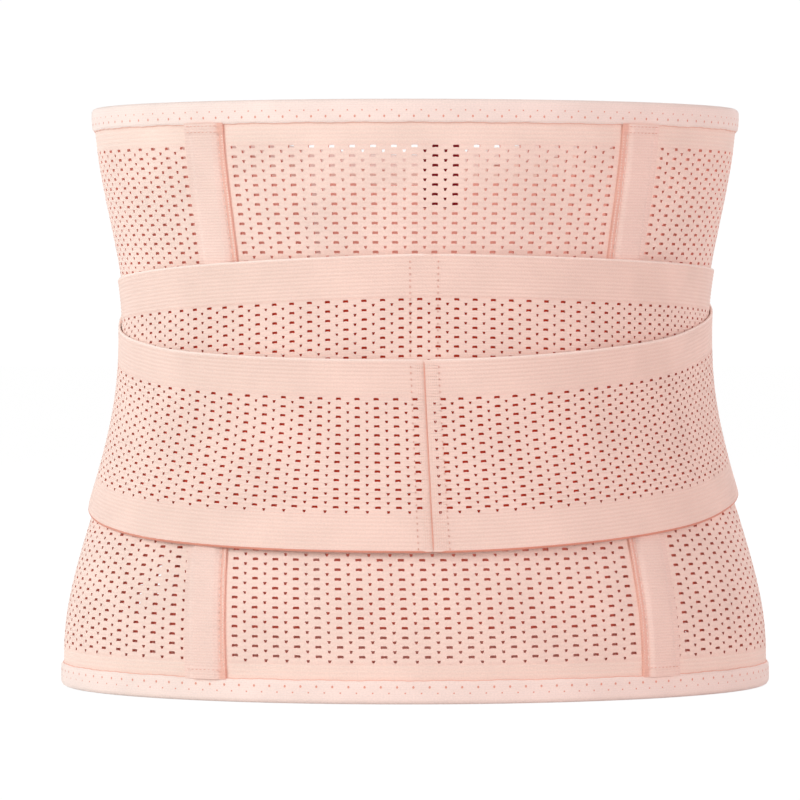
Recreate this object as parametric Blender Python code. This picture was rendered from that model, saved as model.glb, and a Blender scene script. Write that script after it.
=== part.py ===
"""Lumbar support belt in its worn shape: elastic panels, stays in channels, pull straps, front closure.

Metres, +Z up. The origin is the centre of the belt's footprint, on the plane its bottom edge rests on.
The back is towards -Y, the front closure towards +Y, and the wearer's left is -X.
A place on the belt is a turn, a height and a lift. The turn is the angle in degrees round the body from
the centre back, positive towards the wearer's right. The lift is the distance outward from the skin.
On the front, a place is also given by its reach: its distance in x from the centre front.
"""

import math

import bmesh
import bpy
from mathutils import Vector

# --- Body shape -------------------------------------------------------------------------------
BELT_HEIGHT = 0.235
WAIST_TOP, WAIST_BOTTOM = 0.145, 0.140
WAIST_HALF_WIDTH = 0.1174
RIB_FLARE, HIP_FLARE = 0.0126, 0.0252
HIP_FLARE_BEND = 1.1
HIP_FLARE_SPAN = 0.9  # share of the height below the waist over which the hip flares
WAIST_BACK_DEPTH, BACK_DEPTH_PER_FLARE = 0.0910, 0.60
WAIST_FRONT_DEPTH, FRONT_DEPTH_PER_FLARE = 0.0995, -0.18
FRONT_SHIFT = 0.0004  # moves the ellipses' centre so that the origin is the middle of the whole belt
FRONT_DIP, DIP_STARTS = 0.0148, 110.0
UNDIPPED = 0.175  # below this height no row follows the dip

# --- Cloth thicknesses and gaps ---------------------------------------------------------------
GAP = 0.0003
PANEL_THICK = 0.0014
STRAP_THICK = 0.0010
TAPE_THICK = 0.0006
BINDING_THICK = 0.0006
STAY_THICK = 0.0010
LOOP_THICK = 0.0007
HOOK_THICK = 0.0008
LABEL_THICK = 0.0004

# --- Panels, bindings and channels ------------------------------------------------------------
BACK_SEAM = {-1: (33.0, 37.4), 1: (36.2, 36.2)}  # turns of each back seam at the bottom and above the hips
WITHIN_SEAMS, BESIDE_SEAM = 30.0, 45.0  # the stations next to the back seams
SEAM_UPRIGHT = 0.120  # height above which a back seam no longer leans
SLIT = 0.0004  # half the gap between two pieces that meet edge to edge
BINDING_HEIGHT = 0.0091
EDGE_FOLD = 0.0010
FOLD_ROUNDING = 0.0004
CUT_SHORT = 0.0003  # how far a top or bottom binding stops short of its panel's cut ends
CHANNEL_WIDTH = 0.018
CHANNEL_HEM = 0.0040  # margin on each side of a channel's raised middle
CHANNEL_RAMP = 0.0012
STAY_WIDTH = 0.0070
STAY_END_GAP = 0.0040

# --- Pull straps ------------------------------------------------------------------------------
STRAP_HEIGHT = 0.0765
UPPER_TOP, LOWER_TOP = 0.1743, 0.1341
UPPER_RISE = {-1: -0.0095, 1: -0.0057}
LOWER_RISE = {-1: 0.0128, 1: 0.0208}
UPPER_BEND = {-1: 1.3, 1: 1.3}
LOWER_BEND = {-1: 2.4, 1: 1.65}
STRAP_REST = 0.0019  # lift of a strap's inner face where it lies on a bare panel
CHANNEL_BRIDGE = 0.0041  # lift of a strap's inner face where it crosses a channel
STRAP_STEP = 0.0014
SETTLE_STARTS, SETTLE_RUN = 0.012, 0.010  # below the upper strap, the lower one settles on the panel
BACK_BRIDGE_ENDS, BACK_BRIDGE_RUN = 48.0, 20.0  # turns over which a strap leaves the back channels
FRONT_BRIDGE_STARTS, FRONT_BRIDGE_RUN = 108.0, 14.0  # turns over which it climbs the front channels
TOP_SLACK = 0.0022  # how far the lower strap's top edge stands off beside the centre back
SLACK_STARTS, SLACK_FADES, SLACK_RUN = 14.0, 40.0, 30.0  # turns between which it stands off
SLACK_DEPTH = 0.035  # how far below the top edge the slack reaches
MERGE_STARTS, MERGE_ENDS = 88.0, 132.0
ANCHOR_HALF_WIDTH, ANCHOR_MARGIN = 0.0110, 0.0040

# --- Front closure, as reaches ----------------------------------------------------------------
HINGE_REACH, HINGE_CUT = 0.0795, 0.0045
FLAP_END = {-1: -0.006, 1: -0.042}
LAP_LIFT = 0.0039
LAP_STARTS, LAP_FULL = 0.062, 0.046
CLOSURE_FIRST, CLOSURE_LAST = -0.0320, -0.0045  # as x, the same for the hook and the loop
CLOSURE_LOW, CLOSURE_HIGH = 0.020, 0.200

# --- Pull tabs --------------------------------------------------------------------------------
TAB_MIDDLE, TAB_HEIGHT = 0.124, 0.0765
TAB_AXIS_REACH, TAB_FIRST, TAB_LAST = 0.0690, 0.0670, 0.0120
TAB_HOOK_FIRST, TAB_HOOK_LAST, TAB_HOOK_INSET = 0.0560, 0.0160, 0.0060
LANDING_FIRST, LANDING_LAST, LANDING_MARGIN = 0.0640, 0.0120, 0.0050

# --- Label ------------------------------------------------------------------------------------
LABEL_WIDTH, LABEL_DROP, LABEL_OFFSET = 0.016, 0.033, 0.005

# --- Mesh fineness --------------------------------------------------------------------------
# Stacked pieces share their stations, so that their facets lie parallel.
TURN_STEP = 7.5
REACH_STEP = 0.008
ROW_STEP = 0.0155
STRAP_ROWS = 5
FRONT_EDGE_STATION = 141.0  # the station, counted like a turn, of the belt's edge at the flap hinge


def smooth(x):
    """0 below 0, 1 above 1, and an even S-curve between them."""
    x = min(max(x, 0.0), 1.0)
    return x * x * (3.0 - 2.0 * x)


def spread(first, last, count):
    return [first + (last - first) * i / count for i in range(count + 1)]


def flare(height):
    """How much wider than the waist the body's half width is at a height."""
    if height > WAIST_BOTTOM:
        return RIB_FLARE * smooth((height - WAIST_TOP) / (BELT_HEIGHT - WAIST_TOP))
    below = (WAIST_BOTTOM - height) / WAIST_BOTTOM
    return HIP_FLARE * smooth(min(below / HIP_FLARE_SPAN, 1.0) ** HIP_FLARE_BEND)


def half_axes(turn, height):
    """Half width and half depth of the cross-section: one ellipse at the back, another at the front."""
    extra = flare(height)
    if math.cos(math.radians(turn)) > 0:
        return WAIST_HALF_WIDTH + extra, WAIST_BACK_DEPTH + BACK_DEPTH_PER_FLARE * extra
    return WAIST_HALF_WIDTH + extra, WAIST_FRONT_DEPTH + FRONT_DEPTH_PER_FLARE * extra


def place(turn, height, lift):
    """The point at a turn, a height and a lift."""
    wide, deep = half_axes(turn, height)
    angle = math.radians(turn)
    outward = Vector((deep * math.sin(angle), -wide * math.cos(angle), 0.0)).normalized()
    on_skin_point = Vector((wide * math.sin(angle), FRONT_SHIFT - deep * math.cos(angle), height))
    return on_skin_point + outward * lift


def turn_after(turn, height, distance):
    """The turn reached by going a short distance round the body, positive as turns are."""
    wide, deep = half_axes(turn, height)
    angle = math.radians(turn)
    return turn + math.degrees(distance / math.hypot(wide * math.cos(angle), deep * math.sin(angle)))


def at_reach(side, reach):
    """An edge on the front that keeps one distance from the centre front at every height."""
    return lambda height: side * (180.0 - math.degrees(math.asin(reach / half_axes(180.0, height)[0])))


def at_station(station):
    """An edge that is a plain turn at the back, and leans at the front to run along the flap hinge."""
    side = 1 if station > 0 else -1
    forward = abs(station) - 90.0
    if forward <= 0.0:
        return lambda height: station
    hinge_edge = at_reach(1, HINGE_REACH + HINGE_CUT)
    share = forward / (FRONT_EDGE_STATION - 90.0)
    return lambda height: side * (90.0 + share * (hinge_edge(height) - 90.0))


def offset_edge(edge, distance):
    """The edge that runs beside another edge at a distance round the body."""
    return lambda height: turn_after(edge(height), height, distance)


def grid_between(first, last, step):
    """first, the multiples of step between them that aren't close to either end, and last."""
    low, high = min(first, last), max(first, last)
    margin = 0.3 * step
    marks = [step * i for i in range(math.floor(low / step), math.ceil(high / step) + 1)]
    marks = [mark for mark in marks if low + margin < mark < high - margin]
    return [first] + (marks if first < last else marks[::-1]) + [last]


def belt_columns(first, last):
    """Column edges of a piece on the belt's own body between two stations."""
    return [at_station(station) for station in grid_between(first, last, TURN_STEP)]


def back_seam(side, away=0):
    """A back seam, or the panel edge half a slit away from it."""
    low, high = BACK_SEAM[side]

    def turn_at(height):
        turn = side * (low + (high - low) * smooth(height / SEAM_UPRIGHT))
        return turn_after(turn, height, away * SLIT)

    return turn_at


def side_columns(side, seam, last):
    """Column edges from a back seam forward to a station."""
    forward = belt_columns(side * BESIDE_SEAM, last)

    def halfway(height):
        return (seam(height) + forward[0](height)) / 2

    return [seam, halfway] + forward


def flap_columns(side, first, last):
    """Column edges of a piece on a flap between two reaches."""
    return [at_reach(side, reach) for reach in grid_between(first, last, REACH_STEP)]


def slit_at(station, side):
    """The station that lies half a slit beyond another."""
    return turn_after(station, BELT_HEIGHT / 2, side * SLIT)


def reach_of(turn, height):
    """The reach of a place, positive on the place's own side of the centre front."""
    side = 1 if turn > 0 else -1
    return side * half_axes(turn, height)[0] * math.sin(math.radians(turn))


def top_edge(turn):
    """Height of the belt's top edge, which dips at the front."""
    from_back = min(abs(turn), 360.0 - abs(turn))
    return BELT_HEIGHT - FRONT_DIP * smooth((from_back - DIP_STARTS) / (180.0 - DIP_STARTS))


# --- Lifts ------------------------------------------------------------------------------------
def on_skin(turn, height):
    return 0.0


def over_lap(turn, height):
    """Lift of the left flap's inner face, which is raised where it laps over the right flap."""
    if math.cos(math.radians(turn)) > 0:
        return 0.0
    return LAP_LIFT * smooth((LAP_STARTS - reach_of(turn, height)) / (LAP_STARTS - LAP_FULL))


def raised(base, extra):
    return lambda turn, height: base(turn, height) + extra


def strap_top(turn, top, rise, bend):
    """Height of a strap's top edge. Towards the front both straps run into the pull tab's height."""
    side = -1 if turn < 0 else 1
    free = top + rise[side] * (abs(turn) / 90.0) ** bend[side]
    merged = TAB_MIDDLE + STRAP_HEIGHT / 2
    return free + (merged - free) * smooth((abs(turn) - MERGE_STARTS) / (MERGE_ENDS - MERGE_STARTS))


def upper_top(turn):
    return strap_top(turn, UPPER_TOP, UPPER_RISE, UPPER_BEND)


def lower_top(turn):
    return strap_top(turn, LOWER_TOP, LOWER_RISE, LOWER_BEND)


def upper_lift(turn, height):
    """Lift of the upper strap's inner face: it bridges the channels and lies close at the sides."""
    at_back = 1.0 - smooth((abs(turn) - BACK_BRIDGE_ENDS) / BACK_BRIDGE_RUN)
    at_front = smooth((abs(turn) - FRONT_BRIDGE_STARTS) / FRONT_BRIDGE_RUN)
    return STRAP_REST + (CHANNEL_BRIDGE - STRAP_REST) * (at_back + at_front)


def lower_lift(turn, height):
    """Lift of the lower strap's inner face: over the upper strap, and down on the panel below it."""
    upper_bottom = upper_top(turn) - STRAP_HEIGHT
    settle = STRAP_STEP * smooth((upper_bottom - SETTLE_STARTS - height) / SETTLE_RUN)
    away_from_centre = smooth(abs(turn) / SLACK_STARTS)
    beside_centre = away_from_centre * (1.0 - smooth((abs(turn) - SLACK_FADES) / SLACK_RUN))
    near_top = max(1.0 - (lower_top(turn) - height) / SLACK_DEPTH, 0.0)
    return upper_lift(turn, height) + STRAP_STEP - settle + TOP_SLACK * beside_centre * near_top ** 2


# --- Mesh building ----------------------------------------------------------------------------
def finish_object(name, body, material, parent):
    """Makes a mesh object from a bmesh whose points are world points, and hangs it on its parent."""
    bmesh.ops.recalc_face_normals(body, faces=body.faces)
    mesh = bpy.data.meshes.new(name)
    body.to_mesh(mesh)
    body.free()
    mesh.materials.append(material)
    mesh.shade_smooth()
    mesh.set_sharp_from_angle(angle=math.radians(30))
    item = bpy.data.objects.new(name, mesh)
    bpy.context.scene.collection.objects.link(item)
    item.parent = parent
    item.matrix_parent_inverse = parent.matrix_basis.inverted()
    return item


def swept(name, loops, caps, material, parent):
    """A closed solid through a row of closed outlines. caps lists its end faces by corner number."""
    body = bmesh.new()
    rings = [[body.verts.new(point) for point in loop] for loop in loops]
    for ring, following in zip(rings, rings[1:]):
        for i in range(len(ring)):
            j = (i + 1) % len(ring)
            body.faces.new((ring[i], ring[j], following[j], following[i]))
    for ring in (rings[0], rings[-1]):
        for corners in caps:
            body.faces.new([ring[corner] for corner in corners])
    return finish_object(name, body, material, parent)


def cloth(name, columns, heights_at, lift, thick, material, parent):
    """A piece of cloth as a closed solid. heights_at(turn) gives the heights of its rows."""
    middle = BELT_HEIGHT / 2
    table = [[(column(h), h) for h in heights_at(column(middle))] for column in columns]
    body = bmesh.new()
    inner = [[body.verts.new(place(t, h, lift(t, h))) for t, h in row] for row in table]
    outer = [[body.verts.new(place(t, h, lift(t, h) + thick)) for t, h in row] for row in table]
    for layer in (inner, outer):
        for here, there in zip(layer, layer[1:]):
            for i in range(len(here) - 1):
                body.faces.new((here[i], here[i + 1], there[i + 1], there[i]))
    rim_in, rim_out = rim_of(inner), rim_of(outer)
    for i in range(len(rim_in)):
        j = (i + 1) % len(rim_in)
        body.faces.new((rim_in[i], rim_in[j], rim_out[j], rim_out[i]))
    return finish_object(name, body, material, parent)


def rim_of(columns):
    """The border of a grid of vertices, in order."""
    bottom = [column[0] for column in columns]
    top = [column[-1] for column in columns]
    return columns[0][:0:-1] + bottom[:-1] + columns[-1][:-1] + top[:0:-1]


# --- Pieces -----------------------------------------------------------------------------------
def panel(name, columns, base, material, parent):
    """A panel over the belt's whole height. Near the top edge its rows follow the dip."""
    rows = grid_between(BINDING_HEIGHT, BELT_HEIGHT - BINDING_HEIGHT, ROW_STEP)

    def heights(turn):
        squeeze = (top_edge(turn) - BINDING_HEIGHT - UNDIPPED) / (rows[-1] - UNDIPPED)
        middle = [h if h < UNDIPPED else UNDIPPED + (h - UNDIPPED) * squeeze for h in rows]
        return [EDGE_FOLD] + middle + [top_edge(turn) - EDGE_FOLD]

    return cloth(name, columns, heights, base, PANEL_THICK, material, parent)


FOLD_CAPS = ((0, 1, 8, 9), (2, 3, 4, 5), (1, 2, 5, 6), (1, 6, 7, 8))
CHANNEL_CAPS = tuple((i, i + 1, 10 - i, 11 - i) for i in range(5))
STAY_CAPS = ((0, 1, 2, 3),)


def fold_outline(base):
    """A U folded over a panel's edge, as pairs of lift and distance from the fold into the panel."""
    inner, outer = base - GAP, base + PANEL_THICK + GAP
    return (
        (inner, BINDING_HEIGHT),
        (inner, EDGE_FOLD - GAP),
        (outer, EDGE_FOLD - GAP),
        (outer, BINDING_HEIGHT),
        (outer + BINDING_THICK, BINDING_HEIGHT),
        (outer + BINDING_THICK, FOLD_ROUNDING),
        (outer + BINDING_THICK - FOLD_ROUNDING, 0.0),
        (inner - BINDING_THICK + FOLD_ROUNDING, 0.0),
        (inner - BINDING_THICK, FOLD_ROUNDING),
        (inner - BINDING_THICK, BINDING_HEIGHT),
    )


def level_binding(name, columns, at_top, base, material, parent):
    """The binding folded over a panel's top or bottom edge."""
    loops = []
    for column in columns:
        edge = top_edge(column(BELT_HEIGHT / 2)) if at_top else 0.0
        inward = -1 if at_top else 1
        outline = fold_outline(base(column(edge), edge))
        loops.append([place(column(edge + inward * d), edge + inward * d, lift) for lift, d in outline])
    return swept(name, loops, FOLD_CAPS, material, parent)


def end_binding(name, side, base, material, parent):
    """The binding folded over a flap's free end, between the top and bottom bindings."""
    edge = at_reach(side, FLAP_END[side])
    low, high = BINDING_HEIGHT + GAP, top_edge(180.0) - BINDING_HEIGHT - GAP
    loops = []
    for height in grid_between(low, high, ROW_STEP):
        outline = fold_outline(base(edge(height), height))
        fold = turn_after(edge(height), height, side * EDGE_FOLD)
        turns = [turn_after(fold, height, -side * back) for lift, back in outline]
        loops.append([place(turn, height, lift) for turn, (lift, back) in zip(turns, outline)])
    return swept(name, loops, FOLD_CAPS, material, parent)


def channel(name, seam, away, material, parent):
    """A tape sewn over the panel beside a seam, raised in the middle where the stay runs under it."""
    flat = PANEL_THICK + GAP
    bridge = flat + STAY_THICK + GAP
    near, far = CHANNEL_HEM, CHANNEL_WIDTH - CHANNEL_HEM
    foot = (0.0, near - CHANNEL_RAMP, far + CHANNEL_RAMP, CHANNEL_WIDTH)
    lifts = (flat, flat, bridge, bridge, flat, flat)
    profile = tuple(zip((foot[0], foot[1], near, far, foot[2], foot[3]), lifts))
    low, high = BINDING_HEIGHT + GAP, top_edge(seam(BELT_HEIGHT)) - BINDING_HEIGHT - GAP
    loops = []
    for height in grid_between(low, high, ROW_STEP):
        turns = [turn_after(seam(height), height, away * across) for across, lift in profile]
        inner = [place(turn, height, lift) for turn, (across, lift) in zip(turns, profile)]
        outer = [place(turn, height, lift + TAPE_THICK) for turn, (across, lift) in zip(turns, profile)]
        loops.append(inner + outer[::-1])
    return swept(name, loops, CHANNEL_CAPS, material, parent)


def stay(name, seam, away, material, parent):
    """A flat springy stay with round tips, lying in the middle of its channel."""
    radius = STAY_WIDTH / 2
    low = BINDING_HEIGHT + STAY_END_GAP
    high = top_edge(seam(BELT_HEIGHT)) - BINDING_HEIGHT - STAY_END_GAP
    tip = [radius * (1.0 - math.cos(math.radians(angle))) for angle in (20, 45, 70)]
    straight = grid_between(low + radius, high - radius, ROW_STEP)
    heights = [low + t for t in tip] + straight + [high - t for t in tip[::-1]]
    base = PANEL_THICK + GAP
    loops = []
    for height in heights:
        from_tip = min(height - low, high - height, radius)
        half = math.sqrt(radius ** 2 - (radius - from_tip) ** 2)
        left = turn_after(seam(height), height, away * (CHANNEL_WIDTH / 2 - half))
        right = turn_after(seam(height), height, away * (CHANNEL_WIDTH / 2 + half))
        corners = ((left, base), (right, base), (right, base + STAY_THICK), (left, base + STAY_THICK))
        loops.append([place(turn, height, lift) for turn, lift in corners])
    return swept(name, loops, STAY_CAPS, material, parent)


def strap(name, side, top, lift, material, parent):
    """One half of a pull strap, from the centre back to the flap hinge."""
    columns = belt_columns(slit_at(0.0, side), side * FRONT_EDGE_STATION)

    def heights(turn):
        return spread(top(turn) - STRAP_HEIGHT, top(turn), STRAP_ROWS)

    return cloth(name, columns, heights, lift, STRAP_THICK, material, parent)


def patch(name, columns, low, high, lift, thick, material, parent):
    """A piece of cloth with level edges at fixed heights."""
    rows = grid_between(low, high, ROW_STEP)
    return cloth(name, columns, lambda turn: rows, lift, thick, material, parent)


# --- Assembly ---------------------------------------------------------------------------------
def make_material(name, colour, roughness, metallic=0.0):
    material = bpy.data.materials.new(name)
    material.use_nodes = True
    shader = material.node_tree.nodes["Principled BSDF"]
    shader.inputs["Base Color"].default_value = (*colour, 1.0)
    shader.inputs["Roughness"].default_value = roughness
    shader.inputs["Metallic"].default_value = metallic
    return material


def make_materials():
    return {
        "mesh": make_material("mesh_elastic", (0.86, 0.62, 0.54), 0.85),
        "strap": make_material("strap_elastic", (0.83, 0.58, 0.50), 0.80),
        "tape": make_material("channel_tape", (0.84, 0.60, 0.52), 0.80),
        "binding": make_material("edge_binding", (0.92, 0.74, 0.68), 0.70),
        "loop": make_material("loop_cloth", (0.84, 0.60, 0.53), 0.95),
        "hook": make_material("hook_tape", (0.80, 0.57, 0.50), 0.60),
        "stay": make_material("stay_plastic", (0.85, 0.84, 0.80), 0.40),
        "label": make_material("label_weave", (0.42, 0.05, 0.07), 0.75),
    }


def make_empty(name, location, parent=None):
    empty = bpy.data.objects.new(name, None)
    bpy.context.scene.collection.objects.link(empty)
    empty.location = location
    empty.parent = parent
    if parent:
        empty.matrix_parent_inverse = parent.matrix_basis.inverted()
    bpy.context.view_layer.update()
    return empty


def columns_about(centre, half_width):
    """Column edges of a narrow piece centred at a distance from the centre back."""
    ends = [turn_after(0.0, BELT_HEIGHT, centre + side * half_width) for side in (-1, 1)]
    return belt_columns(*ends)


def build_back(materials, belt):
    """The back panel, the label, the anchor tape and the bindings from one flap hinge to the other."""
    inner = belt_columns(-WITHIN_SEAMS, WITHIN_SEAMS)
    back = [back_seam(-1, 1)] + inner + [back_seam(1, -1)]
    panel("back_panel", back, on_skin, materials["mesh"], belt)
    low, high = LOWER_TOP - STRAP_HEIGHT + ANCHOR_MARGIN, UPPER_TOP - ANCHOR_MARGIN
    outside = raised(on_skin, PANEL_THICK + GAP)
    anchor = columns_about(0.0, ANCHOR_HALF_WIDTH)
    patch("strap_anchor_tape", anchor, low, high, outside, TAPE_THICK, materials["tape"], belt)
    last = turn_after(FRONT_EDGE_STATION, BELT_HEIGHT / 2, -CUT_SHORT)
    left, right = side_columns(-1, back_seam(-1), -last), side_columns(1, back_seam(1), last)
    whole = left[::-1] + inner + right
    level_binding("top_binding", whole, True, on_skin, materials["binding"], belt)
    level_binding("bottom_binding", whole, False, on_skin, materials["binding"], belt)
    high = BELT_HEIGHT - BINDING_HEIGHT - GAP
    behind = raised(on_skin, -GAP - BINDING_THICK - LABEL_THICK)
    label = columns_about(LABEL_OFFSET, LABEL_WIDTH / 2)
    patch("size_label", label, high - LABEL_DROP, high, behind, LABEL_THICK, materials["label"], belt)


def build_side(word, side, materials, belt):
    """One side of the belt, from the back seam to the flap's hinge line."""
    seam = back_seam(side, side)
    columns = side_columns(side, seam, side * FRONT_EDGE_STATION)
    panel(f"{word}_side_panel", columns, on_skin, materials["mesh"], belt)
    edges = (("back", seam, side), ("front", at_station(side * FRONT_EDGE_STATION), -side))
    for place_word, edge, away in edges:
        channel(f"{word}_{place_word}_channel", edge, away, materials["tape"], belt)
        stay(f"{word}_{place_word}_stay", edge, away, materials["stay"], belt)
    strap(f"upper_strap_{word}", side, upper_top, upper_lift, materials["strap"], belt)
    strap(f"lower_strap_{word}", side, lower_top, lower_lift, materials["strap"], belt)


def build_flap(word, side, base, materials, hinge):
    """One front flap with its bindings and the loop pad that the pull tab lands on."""
    columns = flap_columns(side, HINGE_REACH - HINGE_CUT, FLAP_END[side])
    panel(f"{word}_front_flap", columns, base, materials["mesh"], hinge)
    bound = flap_columns(side, HINGE_REACH - HINGE_CUT - CUT_SHORT, FLAP_END[side] + CUT_SHORT)
    level_binding(f"top_binding_{word}", bound, True, base, materials["binding"], hinge)
    level_binding(f"bottom_binding_{word}", bound, False, base, materials["binding"], hinge)
    end_binding(f"end_binding_{word}", side, base, materials["binding"], hinge)
    half = TAB_HEIGHT / 2 + LANDING_MARGIN
    low, high = TAB_MIDDLE - half, TAB_MIDDLE + half
    landing = flap_columns(side, LANDING_FIRST, LANDING_LAST)
    lift = raised(base, PANEL_THICK + GAP)
    patch(f"{word}_landing_loop", landing, low, high, lift, LOOP_THICK, materials["loop"], hinge)


def build_closure(materials, hinges):
    """The hook pad inside the left flap and the loop pad on the right flap that it grips."""
    low, high = CLOSURE_LOW, CLOSURE_HIGH
    inside = raised(over_lap, -GAP - HOOK_THICK)
    hook = flap_columns(-1, -CLOSURE_FIRST, -CLOSURE_LAST)
    patch("closure_hook_patch", hook, low, high, inside, HOOK_THICK, materials["hook"], hinges[-1])
    outside = raised(on_skin, PANEL_THICK + GAP)
    loop = flap_columns(1, CLOSURE_LAST, CLOSURE_FIRST)
    patch("closure_loop_patch", loop, low, high, outside, LOOP_THICK, materials["loop"], hinges[1])


def build_tab(word, side, base, materials, hinge):
    """The stiff end that both straps of one side are sewn to, with a hook pad on its inner face."""
    low, high = TAB_MIDDLE - TAB_HEIGHT / 2, TAB_MIDDLE + TAB_HEIGHT / 2
    outside = raised(base, tab_lift())
    tab = flap_columns(side, TAB_FIRST, TAB_LAST)
    patch(f"{word}_pull_tab", tab, low, high, outside, STRAP_THICK, materials["strap"], hinge)
    low, high = low + TAB_HOOK_INSET, high - TAB_HOOK_INSET
    inside = raised(outside, -GAP - HOOK_THICK)
    hook = flap_columns(side, TAB_HOOK_FIRST, TAB_HOOK_LAST)
    patch(f"{word}_tab_hook", hook, low, high, inside, HOOK_THICK, materials["hook"], hinge)


def tab_lift():
    """Lift of a pull tab's inner face above its flap's inner face."""
    return PANEL_THICK + LOOP_THICK + HOOK_THICK + 3 * GAP


def front_point(side, reach, height, lift):
    return place(at_reach(side, reach)(height), height, lift)


def flap_axis(side):
    """The hinge line is upright and runs through the middle of the cloth, averaged over its height."""
    levels = spread(0.0, top_edge(180.0), 20)
    depths = [front_point(side, HINGE_REACH, height, PANEL_THICK / 2).y for height in levels]
    return Vector((side * HINGE_REACH, (min(depths) + max(depths)) / 2, 0.0))


def main():
    for item in list(bpy.data.objects):
        bpy.data.objects.remove(item)
    materials = make_materials()
    belt = make_empty("belt", Vector((0.0, 0.0, 0.0)))
    build_back(materials, belt)
    hinges = {}
    for side, word, base in ((-1, "left", over_lap), (1, "right", on_skin)):
        build_side(word, side, materials, belt)
        hinges[side] = make_empty(f"{word}_flap_hinge", flap_axis(side), belt)
        build_flap(word, side, base, materials, hinges[side])
        axis = front_point(side, TAB_AXIS_REACH, TAB_MIDDLE, tab_lift() + STRAP_THICK / 2)
        build_tab(word, side, base, materials, make_empty(f"{word}_tab_hinge", axis, hinges[side]))
    build_closure(materials, hinges)


main()
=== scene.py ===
"""Looks of the lumbar support belt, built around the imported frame.

Metres, +Z up, the back of the belt towards -Y. A place on the cloth is a turn, a height and a lift. The
turn is the angle in degrees round the body from the centre back. The lift is the distance outward from the
body's skin. Along the girth, pieces are laid out by arc: the distance round the body, positive towards the
wearer's right.
"""

import math

import bpy
import numpy as np
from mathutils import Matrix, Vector


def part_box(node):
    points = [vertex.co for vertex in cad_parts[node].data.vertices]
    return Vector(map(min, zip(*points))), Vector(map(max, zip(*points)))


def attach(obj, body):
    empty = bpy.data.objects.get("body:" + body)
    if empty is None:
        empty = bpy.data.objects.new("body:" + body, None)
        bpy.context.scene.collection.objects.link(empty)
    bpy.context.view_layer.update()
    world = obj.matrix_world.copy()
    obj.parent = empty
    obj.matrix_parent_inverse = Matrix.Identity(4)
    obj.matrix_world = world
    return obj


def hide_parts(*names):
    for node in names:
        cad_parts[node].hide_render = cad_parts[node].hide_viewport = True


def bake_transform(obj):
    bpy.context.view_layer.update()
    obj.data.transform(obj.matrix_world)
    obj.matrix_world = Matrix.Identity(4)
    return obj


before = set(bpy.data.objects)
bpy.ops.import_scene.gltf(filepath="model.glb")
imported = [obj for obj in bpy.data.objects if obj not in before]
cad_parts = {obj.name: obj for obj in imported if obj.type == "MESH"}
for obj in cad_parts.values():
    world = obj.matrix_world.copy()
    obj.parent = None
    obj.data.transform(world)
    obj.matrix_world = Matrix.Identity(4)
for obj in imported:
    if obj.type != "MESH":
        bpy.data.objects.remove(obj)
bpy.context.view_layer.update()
RNG = np.random.default_rng(7)
MM = 0.001

# --- Sizes of the cloth, as on the CAD ---
PANEL_THICK, STRAP_THICK, TAPE_THICK, CLOTH_GAP = 1.4 * MM, 1.0 * MM, 0.6 * MM, 0.3 * MM
BINDING_HEIGHT, BAND_HEIGHT = 9.1 * MM, 8.3 * MM
BACK_SEAM = {-1: (33.0, 37.4), 1: (36.2, 36.2)}  # turns of each back seam at the bottom and above the hips
SEAM_UPRIGHT, SEAM_STATION = 120 * MM, 36.8
CHANNEL_WIDTH = 18 * MM
STRAP_HEIGHT = {"upper": 76.5 * MM, "lower": 74.0 * MM}
STRAP_BAND = {"upper": 16.2 * MM, "lower": 14.2 * MM}
LOWER_EASE = 1.6 * MM  # how far the lower strap stands above the CAD strap's bottom edge
UPPER_RISE, LOWER_RISE = {-1: -9.5 * MM, 1: -5.7 * MM}, {-1: 12.8 * MM, 1: 20.8 * MM}
UPPER_BEND, LOWER_BEND = {-1: 1.3, 1: 1.3}, {-1: 2.4, 1: 1.65}
STRAP_REST, CHANNEL_BRIDGE, STRAP_STEP = 1.9 * MM, 4.1 * MM, 1.4 * MM
MERGE_STARTS, MERGE_ENDS = 88.0, 132.0
FRONT_DIP, DIP_STARTS, UNDIPPED = 14.8 * MM, 110.0, 0.175
LAP_LIFT, LAP_STARTS, LAP_FULL = 3.9 * MM, 62 * MM, 46 * MM
FLEX_STARTS, FLEX_ENDS = 88.5 * MM, 74.5 * MM  # reaches between which the cloth bends when a flap opens
FRONT_EDGE_STATION = 138.0
MID_HEIGHT = 0.095  # the height at which arcs are measured
TAB_FIRST, TAB_LAST = 74.3 * MM, 12.0 * MM
TAB_FLEX_STARTS, TAB_FLEX_ENDS = 74.2 * MM, 66.0 * MM

# --- Sizes of the knit ---
BODY_KNIT = {"column": 7.75 * MM, "row": 3.76 * MM, "wide": 1.15 * MM, "tall": 0.54 * MM}
STRAP_KNIT = {"column": 7.35 * MM, "row": 3.55 * MM, "wide": 1.08 * MM, "tall": 0.49 * MM}
NARROW_SHARE = 0.60  # half width of a narrow hole next to a wide one's
KNIT_PHASE = 3.9 * MM
ZIGZAG_PITCH, ZIGZAG_WIDTH = 5.4 * MM, 2.6 * MM


def smooth(x):
    x = np.clip(x, 0.0, 1.0)
    return x * x * (3.0 - 2.0 * x)


# --- The body's shape, read from the frame ---
def vertices(node):
    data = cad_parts[node].data.vertices
    points = np.zeros(len(data) * 3, np.float32)
    data.foreach_get("co", points)
    return points.reshape(-1, 3).astype(float)


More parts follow.
